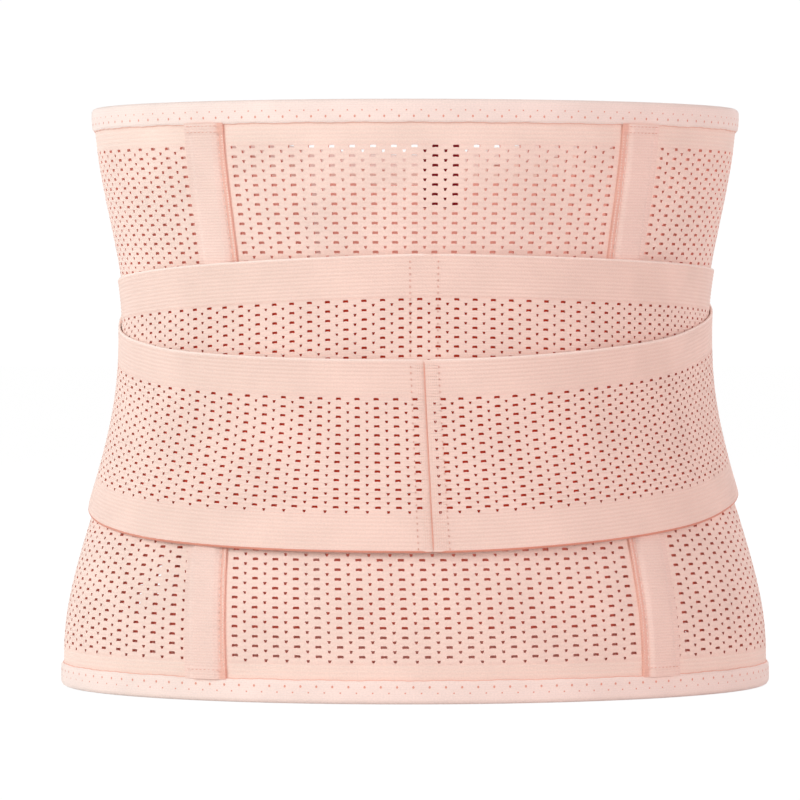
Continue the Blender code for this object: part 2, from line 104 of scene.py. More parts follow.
def curve_through(sizes):
    """A smooth curve of size over height through {height: size}."""
    heights = np.array(sorted(sizes))
    values = np.array([sizes[height] for height in heights])
    slopes = np.gradient(values, heights)

    def at(height):
        height = np.clip(height, heights[0], heights[-1])
        i = np.clip(np.searchsorted(heights, height) - 1, 0, len(heights) - 2)
        step = heights[i + 1] - heights[i]
        t = (height - heights[i]) / step
        return (
            values[i] * (1 + 2 * t) * (1 - t) ** 2
            + values[i + 1] * t * t * (3 - 2 * t)
            + slopes[i] * step * t * (1 - t) ** 2
            - slopes[i + 1] * step * t * t * (1 - t)
        )

    return at


def profile(node, across, sizes):
    """The size of a CAD panel's inner face at each height, along the upright line where across is 0."""
    points = vertices(node)
    levels = {}
    for near, size, height in zip(across(points), sizes(points), points[:, 2]):
        if abs(near) < 0.5 * MM:
            key = round(float(height), 4)
            levels[key] = min(levels.get(key, 1.0), float(size))
    return curve_through(levels)


SIDE = vertices("right_side_panel")
CENTRE_Y = float(SIDE[SIDE[:, 0].argmax(), 1])
half_width = profile("right_side_panel", lambda p: p[:, 1] - CENTRE_Y, lambda p: np.abs(p[:, 0]))
back_depth = profile("back_panel", lambda p: p[:, 0], lambda p: CENTRE_Y - p[:, 1])
front_depth = profile("right_front_flap", lambda p: p[:, 0], lambda p: p[:, 1] - CENTRE_Y)
BELT_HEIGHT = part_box("top_binding")[1].z
HINGE_EDGE = float(SIDE[SIDE[:, 1] > 0, 0].min())
FLAP_END = {
    -1: -float(vertices("left_front_flap")[:, 0].max()),
    1: float(vertices("right_front_flap")[:, 0].min()),
}
UPPER_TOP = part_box("upper_strap_left")[1].z
LOWER_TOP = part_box("lower_strap_left")[0].z + LOWER_EASE + STRAP_HEIGHT["lower"]
TAB_LOW, TAB_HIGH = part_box("left_pull_tab")[0].z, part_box("left_pull_tab")[1].z


def depth(angle, height):
    """The body's depth from its widest line, towards the back or the front."""
    return np.where(np.cos(angle) > 0, back_depth(height), front_depth(height))


def place(turn, height, lift):
    """Points at turns, heights and lifts, as an array with x, y and z last."""
    angle = np.radians(turn)
    wide, deep = half_width(height), depth(angle, height)
    out_x, out_y = deep * np.sin(angle), -wide * np.cos(angle)
    length = np.hypot(out_x, out_y)
    x = wide * np.sin(angle) + lift * out_x / length
    y = CENTRE_Y - deep * np.cos(angle) + lift * out_y / length
    return np.stack(np.broadcast_arrays(x, y, height), axis=-1)


def reach_turn(side, reach, height):
    return side * (180.0 - np.degrees(np.arcsin(reach / half_width(height))))


def station_turn(station, height):
    """A plain turn at the back, leaning over at the front to run along the flap hinge."""
    forward = np.maximum(np.abs(station) - 90.0, 0.0)
    lean = (reach_turn(1, FLEX_STARTS, height) - 90.0) / (FRONT_EDGE_STATION - 90.0)
    return np.sign(station) * (np.minimum(np.abs(station), 90.0) + forward * lean)


def arcs_of(points):
    steps = np.linalg.norm(np.diff(points, axis=0), axis=1)
    return np.concatenate([[0.0], np.cumsum(steps)])


STATIONS = np.linspace(0.0, FRONT_EDGE_STATION, 400)
STATION_ARCS = arcs_of(place(station_turn(STATIONS, MID_HEIGHT), MID_HEIGHT, 0.0))
HALF_GIRTH = float(STATION_ARCS[-1])
REACHES = np.linspace(FLEX_STARTS, -50 * MM, 300)
REACH_ARCS = arcs_of(place(reach_turn(1, REACHES, MID_HEIGHT), MID_HEIGHT, 0.0))


def belt_girth(arc, height):
    """The turn at an arc from the centre back."""
    return station_turn(np.sign(arc) * np.interp(np.abs(arc), STATION_ARCS, STATIONS), height)


def seam_turn(side, height):
    low, high = BACK_SEAM[side]
    return side * (low + (high - low) * smooth(height / SEAM_UPRIGHT))


def panel_girth(arc, height):
    """Turns on the panels' cloth, which is drawn over so that its seams lie along the back channels."""
    turn = belt_girth(arc, height)
    left, right = seam_turn(-1, height), seam_turn(1, height)
    within = left + (right - left) * (turn / SEAM_STATION + 1.0) / 2.0
    seam = np.where(turn < 0.0, left, right)
    share = (np.abs(turn) - SEAM_STATION) / (90.0 - SEAM_STATION)
    beyond = seam + (np.sign(turn) * 90.0 - seam) * share
    return np.where(np.abs(turn) < SEAM_STATION, within, np.where(np.abs(turn) < 90.0, beyond, turn))


def flap_girth(side):
    """The turn at an arc from the start of the soft hinge. On the left, arcs are negative."""
    return lambda arc, height: reach_turn(side, np.interp(np.abs(arc), REACH_ARCS, REACHES), height)


def girth_beside(edge):
    """The turn at a distance round the body from an edge, which is a turn at each height."""

    def girth(distance, height):
        turn = edge(height)
        angle = np.radians(turn)
        rate = np.hypot(half_width(height) * np.cos(angle), depth(angle, height) * np.sin(angle))
        return turn + np.degrees(distance / rate)

    return girth


def reach_arc(reach):
    return float(np.interp(-reach, -REACHES, REACH_ARCS))


def station_arc(station):
    return float(np.sign(station) * np.interp(abs(station), STATIONS, STATION_ARCS))


def top_edge(turn):
    from_back = np.minimum(np.abs(turn), 360.0 - np.abs(turn))
    return BELT_HEIGHT - FRONT_DIP * smooth((from_back - DIP_STARTS) / (180.0 - DIP_STARTS))


def dipped(level, edge_height):
    """Heights of levels, which near the top follow a dip of the top edge down to edge_height."""
    dip = (edge_height - UNDIPPED) / (BELT_HEIGHT - UNDIPPED)
    return np.where(level < UNDIPPED, level, UNDIPPED + (level - UNDIPPED) * dip)


def panel_level(girth):
    return lambda arc, level: dipped(level, top_edge(girth(arc, MID_HEIGHT)))


def own_level(arc, level):
    """Heights of pieces that don't follow the top edge."""
    return level + 0.0 * arc


# --- Heights and lifts ---
def strap_top(turn, top, rise, bend):
    turn = np.asarray(turn, float)
    round_body = np.abs(turn) / 90.0
    free = top + np.where(turn < 0, rise[-1] * round_body ** bend[-1], rise[1] * round_body ** bend[1])
    return free + (TAB_HIGH - free) * smooth((np.abs(turn) - MERGE_STARTS) / (MERGE_ENDS - MERGE_STARTS))


def upper_top(turn):
    return strap_top(turn, UPPER_TOP, UPPER_RISE, UPPER_BEND)


def lower_top(turn):
    return strap_top(turn, LOWER_TOP, LOWER_RISE, LOWER_BEND)


def strap_level(top, height):
    return lambda along, level: top(strap_girth(along, MID_HEIGHT)) - height + level


def upper_lift(turn, height):
    at_back = 1.0 - smooth((np.abs(turn) - 48.0) / 20.0)
    at_front = smooth((np.abs(turn) - 108.0) / 14.0)
    return STRAP_REST + (CHANNEL_BRIDGE - STRAP_REST) * (at_back + at_front)


def lower_lift(turn, height):
    settle = STRAP_STEP * smooth((upper_top(turn) - STRAP_HEIGHT["upper"] - 12 * MM - height) / (10 * MM))
    beside = smooth(np.abs(turn) / 14.0) * (1.0 - smooth((np.abs(turn) - 40.0) / 30.0))
    near_top = np.maximum(1.0 - (lower_top(turn) - height) / (35 * MM), 0.0)
    return upper_lift(turn, height) + STRAP_STEP - settle + 2.6 * MM * beside * near_top ** 2


def on_skin(turn, height):
    return np.zeros_like(np.asarray(turn, float))


def over_lap(turn, height):
    """Lift of the left flap's inner face, which is raised where it laps over the right flap."""
    reach = -half_width(height) * np.sin(np.radians(turn))
    lapping = LAP_LIFT * smooth((LAP_STARTS - reach) / (LAP_STARTS - LAP_FULL))
    return np.where(np.cos(np.radians(turn)) < 0, lapping, 0.0)


def raised(base, extra):
    return lambda turn, height: base(turn, height) + extra


class Layout:
    """How arcs, levels and lifts of a piece turn into points."""

    def __init__(self, girth, level, base):
        self.girth, self.level, self.base = girth, level, base

    def points(self, arc, level, lift=0.0):
        height = self.level(arc, level)
        turn = self.girth(arc, height)
        return place(turn, height, self.base(turn, height) + lift)


# --- Mesh building ---
SHARP_ANGLE = math.radians(40.0)
ONE = (0, 0, 0)  # a sheet's outer face, cut edges and inner face all in its piece's first material


class Patchwork:
    """Gathers the closed solids of one piece: points, faces, cloth coordinates and material numbers."""

    def __init__(self):
        self.points, self.faces, self.coords, self.materials, self.count = [], [], [], [], 0

    def add(self, points, groups, coords, materials=0):
        """groups are arrays of faces. materials is one number, or one for each group."""
        points = points.reshape(-1, 3)
        if isinstance(materials, int):
            materials = [materials] * len(groups)
        if volume(points, groups) < 0.0:
            groups = [group[:, ::-1] for group in groups]
        for group, material in zip(groups, materials):
            self.faces.extend((group + self.count).tolist())
            self.materials.extend([material] * len(group))
        self.points.append(points)
        self.coords.append(np.broadcast_to(coords, (len(points), 2)))
        self.count += len(points)

    def build(self, name, materials):
        mesh = bpy.data.meshes.new(name)
        mesh.from_pydata(np.concatenate(self.points).tolist(), [], self.faces)
        for material in materials:
            mesh.materials.append(material)
        mesh.polygons.foreach_set("material_index", self.materials)
        loops = np.zeros(len(mesh.loops), np.int32)
        mesh.loops.foreach_get("vertex_index", loops)
        layer = mesh.uv_layers.new(name="cloth")
        layer.data.foreach_set("uv", np.concatenate(self.coords)[loops].astype(np.float32).ravel())
        mesh.shade_smooth()
        mesh.set_sharp_from_angle(angle=SHARP_ANGLE)
        piece = bpy.data.objects.new(name, mesh)
        bpy.context.scene.collection.objects.link(piece)
        return piece


def volume(points, groups):
    """Six times the signed volume of a closed solid."""
    total = 0.0
    centre = points.mean(axis=0)
    for group in groups:
        for k in range(1, group.shape[1] - 1):
            a, b, c = (points[group[:, i]] - centre for i in (0, k, k + 1))
            total += float(np.einsum("ij,ij->", a, np.cross(b, c)))
    return total


def sheet(work, layout, arcs, levels, thick, relief=0.0, holes=None, bend=(0, 0), lift=0.0, materials=ONE):
    """A closed sheet of cloth on a grid of arcs and levels. Cells that holes marks are left open.

    materials are the numbers of the cloth's outer face, its cut edges and its inner face.
    """
    arc, level = np.broadcast_arrays(arcs[None, :] + bend[0], levels[:, None] + bend[1])
    inner = layout.points(arc, level, lift)
    outer = layout.points(arc, level, lift + thick + relief)
    rows, columns = arc.shape
    index = np.arange(rows * columns).reshape(rows, columns)
    a, b, c, d = index[:-1, :-1], index[:-1, 1:], index[1:, 1:], index[1:, :-1]
    n = rows * columns
    solid = np.ones((rows - 1, columns - 1), bool) if holes is None else ~holes
    padded = np.pad(solid, 1)
    left = solid & ~padded[1:-1, :-2]
    right = solid & ~padded[1:-1, 2:]
    below = solid & ~padded[:-2, 1:-1]
    above = solid & ~padded[2:, 1:-1]
    groups = [
        np.stack([a[solid] + n, b[solid] + n, c[solid] + n, d[solid] + n], 1),
        np.stack([a[solid], d[solid], c[solid], b[solid]], 1),
        np.stack([a[left], a[left] + n, d[left] + n, d[left]], 1),
        np.stack([b[right], c[right], c[right] + n, b[right] + n], 1),
        np.stack([a[below], b[below], b[below] + n, a[below] + n], 1),
        np.stack([d[above], d[above] + n, c[above] + n, c[above]], 1),
    ]
    coords = np.tile(np.stack([arc, level], -1).reshape(-1, 2), (2, 1))
    face, wall, lining = materials
    points = np.concatenate([inner.reshape(-1, 3), outer.reshape(-1, 3)])
    work.add(points, groups, coords, [face, lining, wall, wall, wall, wall])


def spaced(first, last, step):
    """Evenly spaced places between two ends, about a step apart."""
    return np.linspace(first, last, max(3, round((last - first) / step)))


def knit_columns(first, last, knit, phase):
    """Arcs of the grid lines that shape the holes, and the first line of each wide and narrow column."""
    wide, narrow, half = knit["wide"], NARROW_SHARE * knit["wide"], knit["column"] / 2
    lines, wides, narrows = [first], [], []
    for k in range(math.ceil((first - phase) / half), math.floor((last - phase) / half) + 1):
        centre = phase + k * half
        width, shape = (narrow, (-1.0, 1.0)) if k % 2 else (wide, (-1.0, -0.7, 0.0, 0.7, 1.0))
        if centre - width < first + 0.5 * MM or centre + width > last - 0.5 * MM:
            continue
        (narrows if k % 2 else wides).append(len(lines))
        lines.extend(centre + width * share for share in shape)
    return np.array(lines + [last]), np.array(wides, int), np.array(narrows, int)


def openwork(work, layout, first, last, low, high, knit, thick, phase, materials):
    """Openwork knit: columns of wide holes, with narrow ones halfway between them and half a row down."""
    tall, narrow = knit["tall"], NARROW_SHARE * knit["wide"]
    rows = max(1, round((high - low) / knit["row"]))
    row = (high - low) / rows
    arcs, wides, narrows = knit_columns(first, last, knit, phase)
    offsets = np.array([row / 4 - tall, row / 4 + tall, 3 * row / 4 - tall, 3 * row / 4 + tall])
    levels = np.concatenate([[low], (low + row * np.arange(rows)[:, None] + offsets).ravel(), [high]])
    bend_arc = np.zeros((len(levels), len(arcs)))
    bend_level = np.zeros_like(bend_arc)
    holes = np.zeros((len(levels) - 1, len(arcs) - 1), bool)
    for line, up, down in ((0, 0.1, -0.3), (2, 0.2, 0.0), (4, 0.1, -0.3)):
        bend_level[3:-1:4, wides + line] += up * tall
        bend_level[4:-1:4, wides + line] += down * tall
    bend_arc[1:-1:4, narrows] += 0.5 * narrow
    bend_arc[1:-1:4, narrows + 1] -= 0.5 * narrow
    for cell in range(4):
        holes[3:-1:4, wides + cell] = True
    holes[1:-1:4, narrows] = True
    uneven = RNG.normal(0.0, 0.05 * MM, bend_level.shape)
    uneven[[0, -1]] = 0.0
    uneven[:, [0, -1]] = 0.0
    relief = RNG.normal(0.0, 0.03 * MM, bend_level.shape)
    bend = (bend_arc + uneven, bend_level + 0.6 * uneven)
    sheet(work, layout, arcs, levels, thick, relief, holes, bend, materials=materials)


def ribs(work, layout, first, last, low, high, pitch, height, thick, step=4 * MM, lift=0.0, material=0):
    """A dense band with ribs along the girth."""
    count = max(1, round((high - low) / pitch))
    levels = np.linspace(low, high, 4 * count + 1)
    arcs = np.linspace(first, last, max(2, round((last - first) / step)) + 1)
    wave = height * (0.5 - 0.5 * np.cos(2 * math.pi * (levels - low) * count / (high - low)))
    relief = wave[:, None] - height / 2
    sheet(work, layout, arcs, levels, thick, relief, lift=lift, materials=(material,) * 3)


def ring_faces(rows, columns):
    """Faces of a solid through rows of closed rings, with fans from its last two points over its ends."""
    index = np.arange(rows * columns).reshape(rows, columns)
    following = np.roll(index, -1, axis=1)
    body = np.stack([index[:-1], following[:-1], following[1:], index[1:]], -1).reshape(-1, 4)
    middle = np.full(columns, rows * columns)
    cap_a = np.stack([following[0], index[0], middle], -1)
    cap_b = np.stack([index[-1], following[-1], middle + 1], -1)
    return [body, cap_a, cap_b]


def tube(work, path, radius, sides=5, material=0):
    """A thread along a path of points, tapered to a point at both ends."""
    path = np.asarray(path, float)
    along = np.gradient(path, axis=0)
    along /= np.linalg.norm(along, axis=1)[:, None] + 1e-12
    side = np.cross(along, np.array([0.0, 0.0, 1.0]))
    upright = np.linalg.norm(side, axis=1) < 0.05
    side[upright] = np.cross(along[upright], np.array([1.0, 0.0, 0.0]))
    side /= np.linalg.norm(side, axis=1)[:, None]
    up = np.cross(side, along)
    angles = np.linspace(0.0, 2 * math.pi, sides, endpoint=False)
    width = np.full(len(path), radius)
    width[[0, -1]] *= 0.3
    ring = side[:, None] * np.cos(angles)[:, None] + up[:, None] * np.sin(angles)[:, None]
    points = path[:, None] + ring * width[:, None, None]
    points = np.concatenate([points.reshape(-1, 3), path[[0, -1]]])
    work.add(points, ring_faces(len(path), sides), points[:, [0, 2]], material)


def stitches(work, layout, ends, lift, length=2.4 * MM, gap=0.7 * MM, radius=0.13 * MM, material=2):
    """A row of straight stitches. ends are the arcs, then the levels, that it runs from and to."""
    arc_from, arc_to, level_from, level_to = ends
    run = math.hypot(arc_to - arc_from, level_to - level_from)
    count = max(1, int(run / (length + gap)))
    share = np.linspace(0.0, 1.0, 5)
    bow = np.array([-0.35, 0.3, 0.55, 0.3, -0.35]) * radius * 2
    for i in range(count):
        t = (i + share * length / (length + gap)) / count
        arc = arc_from + (arc_to - arc_from) * t
        level = level_from + (level_to - level_from) * t
        tube(work, layout.points(arc, level, lift + bow), radius, 5, material)


# --- Materials ---
def srgb(red, green, blue):
    return tuple(((c / 255 + 0.055) / 1.055) ** 2.4 for c in (red, green, blue)) + (1.0,)


def feed(tree, socket, value):
    """Links a socket to another node's output, or sets it to a plain value."""
    if isinstance(value, bpy.types.NodeSocket):
        tree.links.new(value, socket)
    else:
        socket.default_value = value


def node(tree, kind, **inputs):
    made = tree.nodes.new(kind)
    for name, value in inputs.items():
        feed(tree, made.inputs[name], value)
    return made


def maths(tree, operation, *values):
    made = tree.nodes.new("ShaderNodeMath")
    made.operation = operation
    for socket, value in zip(made.inputs, values):
        feed(tree, socket, value)
    return made.outputs[0]


def ranged(tree, source, from_range, to_range, interpolation="LINEAR"):
    """A value carried over from one range to another."""
    made = tree.nodes.new("ShaderNodeMapRange")
    made.interpolation_type = interpolation
    for socket, value in zip(made.inputs, (source, *from_range, *to_range)):
        feed(tree, socket, value)
    return made.outputs[0]


def mixed(tree, share, first, second, blend="MIX"):
    """A mix of two colours."""
    made = tree.nodes.new("ShaderNodeMix")
    made.data_type = "RGBA"
    made.blend_type = blend
    for index, value in ((0, share), (6, first), (7, second)):
        feed(tree, made.inputs[index], value)
    return made.outputs[2]


def cloth_place(tree):
    """Arcs and levels on the cloth, as texture coordinates."""
    coords = tree.nodes.new("ShaderNodeUVMap")
    coords.uv_map = "cloth"
    return coords.outputs["UV"]


def cloth_axis(tree, axis):
    return node(tree, "ShaderNodeSeparateXYZ", Vector=cloth_place(tree)).outputs[axis]


def new_material(name):
    material = bpy.data.materials.new(name)
    material.use_nodes = True
    return material, material.node_tree, material.node_tree.nodes["Principled BSDF"].inputs


def bands(tree, pitch, direction, distortion, detail):
    """Light and dark bands over the cloth, with their pitch in millimetres."""
    scale = BAND_SCALE / (pitch * MM)
    wave = node(tree, "ShaderNodeTexWave", Vector=cloth_place(tree), Scale=scale, Distortion=distortion)
    wave.inputs["Detail"].default_value = detail
    wave.bands_direction = direction
    return wave.outputs["Fac"]


def fabric(name, base, shade, rib_pitch, rib_share=0.35, bump=0.25, sheen=0.25, rough=0.82):
    """Woven or knitted cloth: ribs along the girth shown as bands of painted shade, fine yarns, and slow
    unevenness in colour.
    """
    material, tree, shader = new_material(name)
    cloth = cloth_place(tree)
    rib = bands(tree, rib_pitch, "Y", 0.35, 1.0)
    yarns = bands(tree, YARN_PITCH, "DIAGONAL", 1.5, 2.0)
    slow = node(tree, "ShaderNodeTexNoise", Vector=cloth, Scale=38.0, Detail=3.0).outputs["Fac"]
    fine = node(tree, "ShaderNodeTexNoise", Vector=cloth, Scale=1600.0, Detail=4.0).outputs["Fac"]
    # Painted shade: the colour darkens towards the shade colour in bands that stand for the grooves between
    # ribs
    ribbed = mixed(tree, maths(tree, "MULTIPLY", rib, rib_share), srgb(*base), srgb(*shade))
    patchy = ranged(tree, slow, (0.3, 0.7), (0.955, 1.04))
    speckled = ranged(tree, fine, (0.25, 0.75), (0.93, 1.05))
    brightness = maths(tree, "MULTIPLY", patchy, speckled)
    tint = node(tree, "ShaderNodeHueSaturation", Color=ribbed, Value=brightness)
    height = maths(tree, "ADD", yarns, fine)
    relief = node(tree, "ShaderNodeBump", Strength=bump, Distance=YARN_RELIEF, Height=height)
    looks = {
        "Base Color": tint.outputs["Color"],
        "Roughness": ranged(tree, fine, (0.0, 1.0), (rough - 0.1, min(rough + 0.1, 1.0))),
        "Normal": relief.outputs["Normal"],
        "Sheen Weight": sheen,
        "Sheen Roughness": 0.5,
        "Specular IOR Level": 0.25,
    }
    for socket, value in looks.items():
        feed(tree, shader[socket], value)
    return material


def paint_seam_shade(material, edge, shade, strength):
    """Paints shade into a cloth's colour in a band next to its seam, a painted shadow beside the raised
    seam. edge gives the band's start and end by arc.
    """
    tree = material.node_tree
    colour = tree.nodes["Principled BSDF"].inputs["Base Color"]
    band = ranged(tree, maths(tree, "ABSOLUTE", cloth_axis(tree, "X")), edge, (strength, 0.0), "SMOOTHSTEP")
    feed(tree, colour, mixed(tree, band, colour.links[0].from_socket, shade, "MULTIPLY"))


def paint_glow(material, at_bottom, at_top):
    """Paints a glow into a cloth, an emission that stands in for outside light coming through it, with
    strengths at the belt's bottom and top edge.

    Low down, where such light would have passed through more cloth, the painted glow is a deep red.
    """
    tree = material.node_tree
    shader = tree.nodes["Principled BSDF"].inputs
    level, heights = cloth_axis(tree, "Y"), (0.0, BELT_HEIGHT)
    own_colour = shader["Base Color"].links[0].from_socket
    feed(tree, shader["Emission Strength"], ranged(tree, level, heights, (at_bottom, at_top)))
    share = ranged(tree, level, heights, (0.0, 1.0))
    feed(tree, shader["Emission Color"], mixed(tree, share, PAINTED_GLOW_RED, own_colour))
    return material


def smooth_plastic(name, base, roughness):
    """Moulded plastic with a faint grain."""
    material, tree, shader = new_material(name)
    place_on_object = tree.nodes.new("ShaderNodeTexCoord").outputs["Object"]
    grain = node(tree, "ShaderNodeTexNoise", Vector=place_on_object, Scale=900.0, Detail=3.0).outputs["Fac"]
    darker = tuple(0.93 * c for c in base[:3]) + (1.0,)
    relief = node(tree, "ShaderNodeBump", Strength=0.1, Distance=0.05 * MM, Height=grain)
    feed(tree, shader["Base Color"], mixed(tree, grain, darker, base))
    feed(tree, shader["Normal"], relief.outputs["Normal"])
    feed(tree, shader["Roughness"], roughness)
    return material


BAND_SCALE = 0.314  # scale of a wave texture whose bands are one metre apart
YARN_PITCH = 0.55
YARN_RELIEF = 0.12 * MM
# Painted light: the deep red that the painted glow takes low down on the belt
PAINTED_GLOW_RED = srgb(200, 60, 30)
KNIT = fabric("mesh_knit", (250, 220, 208), (245, 207, 194), 1.88, 0.4)
# Painted shade and light: the knit's hole walls in a darker salmon than its face, with a faint painted glow
# near the top
KNIT_HOLES_PAINTED_SHADE = paint_glow(fabric("mesh_knit_holes_painted_shade", (226, 152, 136), (214, 136, 120), 1.9), 0.0, 0.12)
# Painted shade and light: the knit's inner face and the flaps' lining are darker than its outer face, with
# a painted glow
KNIT_INSIDE_PAINTED_SHADE = paint_glow(fabric("mesh_knit_inside_painted_shade", (224, 162, 148), (212, 146, 132), 1.88), 0.22, 0.24)
BAND = fabric("dense_band", (251, 223, 211), (244, 205, 191), 1.6, 0.4)
STRAP = fabric("strap_knit", (248, 216, 204), (242, 202, 188), 1.8, 0.4)
# Painted shade: the strap's hole walls and its bottom edge in a darker salmon than its face
STRAP_HOLES_PAINTED_SHADE = fabric("strap_knit_holes_painted_shade", (226, 150, 130), (214, 132, 112), 1.8)
# Painted shade and light: a deep red for the strap's inner face and the sheet behind its holes, with a
# painted glow
STRAP_BACKING_PAINTED_SHADE = paint_glow(fabric("strap_backing_painted_shade", (176, 56, 38), (158, 42, 28), 1.8), 0.25, 0.25)
STRAP_RIBS = fabric("strap_band", (248, 216, 204), (242, 202, 188), 1.5, 0.45)
# Painted highlight: a lighter copy of the strap knit for its raised cords, darning and top edge
CORD_PAINTED_HIGHLIGHT = fabric("strap_cord_painted_highlight", (254, 230, 220), (250, 220, 209), 0.8, 0.3, bump=0.15)
TAPE = fabric("channel_tape", (249, 217, 206), (242, 202, 190), 1.1, 0.45)
# Painted shade: the channel tape with a darker band painted beside its seam
TAPE_PAINTED_SEAM_SHADE = fabric("tape_painted_seam_shade", (249, 217, 206), (242, 202, 190), 1.1, 0.45)
paint_seam_shade(TAPE_PAINTED_SEAM_SHADE, (1.6 * MM, 3.4 * MM), srgb(245, 200, 184), 0.6)
# Painted shade: a saturated salmon for thin shadow lines along the channel seams and under the bindings'
# edges
PAINTED_SHADE_LINE = fabric("seam_painted_shade_line", (245, 196, 180), (238, 182, 166), 1.1, 0.6)
BINDING = fabric("edge_binding", (252, 230, 222), (249, 219, 209), 0.9, 0.3, bump=0.15, sheen=0.4)
THREAD = fabric("sewing_thread", (253, 232, 224), (249, 220, 210), 0.4, 0.3, bump=0.1)
# Painted shadow: a darker salmon for stitches sunk in their holes and for the line at the lower strap's
# join
SHADOW_THREAD = fabric("thread_painted_shadow", (230, 168, 150), (220, 148, 130), 0.4, 0.4, bump=0.1)
NEEDLE = fabric("needle_holes", (236, 168, 148), (222, 144, 124), 0.4, 0.4, bump=0.1)
LABEL = fabric("label_weave", (196, 62, 78), (164, 40, 56), 0.5, 0.5, bump=0.3)
LOOP = fabric("loop_ground", (240, 200, 186), (226, 176, 160), 0.7, 0.5, bump=0.9)
LOOP_PILE = fabric("loop_pile", (248, 214, 202), (236, 190, 176), 0.3, 0.5, bump=0.1, sheen=0.8)
HOOK = fabric("hook_ground", (234, 194, 180), (216, 168, 154), 1.0, 0.5, bump=0.3, sheen=0.0, rough=0.5)
HOOK_TIPS = fabric("hook_tips", (240, 206, 194), (228, 188, 174), 1.0, 0.5, sheen=0.0, rough=0.35)
STAY = smooth_plastic("stay_plastic", srgb(226, 222, 212), 0.38)


# --- Panels ---
UNDER_BINDING = 1.2 * MM  # how far a dense band reaches under its binding
BAND_LOW = (BINDING_HEIGHT - UNDER_BINDING, BINDING_HEIGHT + BAND_HEIGHT - 1.9 * MM)
BAND_HIGH = (BELT_HEIGHT - BINDING_HEIGHT - BAND_HEIGHT, BELT_HEIGHT - BINDING_HEIGHT + UNDER_BINDING)
LINING_THICK = 0.2 * MM
SEAM_ARC = station_arc(SEAM_STATION)
WORDS = {-1: "left", 1: "right"}
BELT_LAYOUT = Layout(belt_girth, panel_level(belt_girth), on_skin)
PANEL_LAYOUT = Layout(panel_girth, panel_level(belt_girth), on_skin)


def flap_base(side):
    return over_lap if side < 0 else on_skin


def flap_layout(side, base):
    girth = flap_girth(side)
    return Layout(girth, panel_level(girth), base)


def flap_arcs(side, first_reach, last_reach):
    """Arcs between two reaches on a flap, in rising order."""
    return sorted((side * reach_arc(first_reach), side * reach_arc(last_reach)))


def fit(piece, slot, *cad):
    """Hides the CAD nodes that a piece stands for. piece and slot are not used."""
    if cad:
        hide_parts(*cad)


def bent(piece, side, reaches, height, lift):
    """Bakes a piece's transform into its mesh. The places at the two reaches are worked out but not used.
    """
    start, end = (tuple(place(reach_turn(side, reach, height), height, lift)) for reach in reaches)
    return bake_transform(piece)


def ride_flex(piece, side):
    """Passes a piece to bent with the flap's flex reaches, which bakes its transform."""
    return bent(piece, side, (FLEX_STARTS, FLEX_ENDS), MID_HEIGHT, PANEL_THICK / 2)


def panel_cloth(name, layout, first, last, lined=False):
    """Openwork between two dense bands. The flaps are lined with a thin plain knit, coloured like the
    knit's inner face in a darker painted shade with a painted glow.
    """
    work = Patchwork()
    low, high = BAND_LOW[1], BAND_HIGH[0]
    if lined:
        arcs = np.linspace(first, last, round((last - first) / (4 * MM)) + 1)
        levels = np.linspace(low, high, 60)
        sheet(work, layout, arcs, levels, LINING_THICK, lift=-0.12 * MM, materials=(3, 3, 3))
    # Painted shade and light: the hole walls and the inner face take darker colours with a painted glow
    openwork(work, layout, first, last, low, high, BODY_KNIT, PANEL_THICK, KNIT_PHASE, (0, 2, 3))
    for low, high in (BAND_LOW, BAND_HIGH):
        ribs(work, layout, first, last, low, high, 1.6 * MM, 0.12 * MM, PANEL_THICK, material=1)
    return work.build(name, [KNIT, BAND, KNIT_HOLES_PAINTED_SHADE, KNIT_INSIDE_PAINTED_SHADE])


def build_panels():
    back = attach(panel_cloth("back_mesh", PANEL_LAYOUT, -SEAM_ARC, SEAM_ARC), "belt")
    fit(back, "mesh", "back_panel")
    for side, word in WORDS.items():
        arcs = sorted((side * SEAM_ARC, side * HALF_GIRTH))
        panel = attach(panel_cloth(f"{word}_side_mesh", PANEL_LAYOUT, *arcs), "belt")
        fit(panel, "mesh", f"{word}_side_panel")
        arcs = flap_arcs(side, FLEX_STARTS, FLAP_END[side])
        flap = panel_cloth(f"{word}_flap_mesh", flap_layout(side, flap_base(side)), *arcs, lined=True)
        fit(ride_flex(flap, side), "mesh", f"{word}_front_flap")


# --- Bindings ---
BINDING_PUFF = 0.75 * MM
OUTSIDE_ROWS = 13


def fold_section():
    """The outline of a folded binding, as lifts and depths from the fold."""
    outer = PANEL_THICK + CLOTH_GAP + BINDING_PUFF
    inner = -CLOTH_GAP - 0.6 * MM
    middle, radius = (outer + inner) / 2, (outer - inner) / 2
    outside = [(outer, depth) for depth in np.linspace(BINDING_HEIGHT, radius, OUTSIDE_ROWS)]
    angles = np.linspace(0.3, math.pi - 0.3, 6)
    bend = [(middle + radius * math.cos(a), radius - radius * math.sin(a)) for a in angles]
    inside = [(inner, depth) for depth in np.linspace(radius, BINDING_HEIGHT, 5)]
    return np.array(outside + bend + inside + [(middle, BINDING_HEIGHT - 0.2 * MM)])


def zigzag_depth(along):
    """Distance of the zigzag stitch from the fold."""
    phase = np.abs((along / ZIGZAG_PITCH) % 1.0 * 2.0 - 1.0)
    return 0.6 * BINDING_HEIGHT + ZIGZAG_WIDTH * (phase - 0.5)


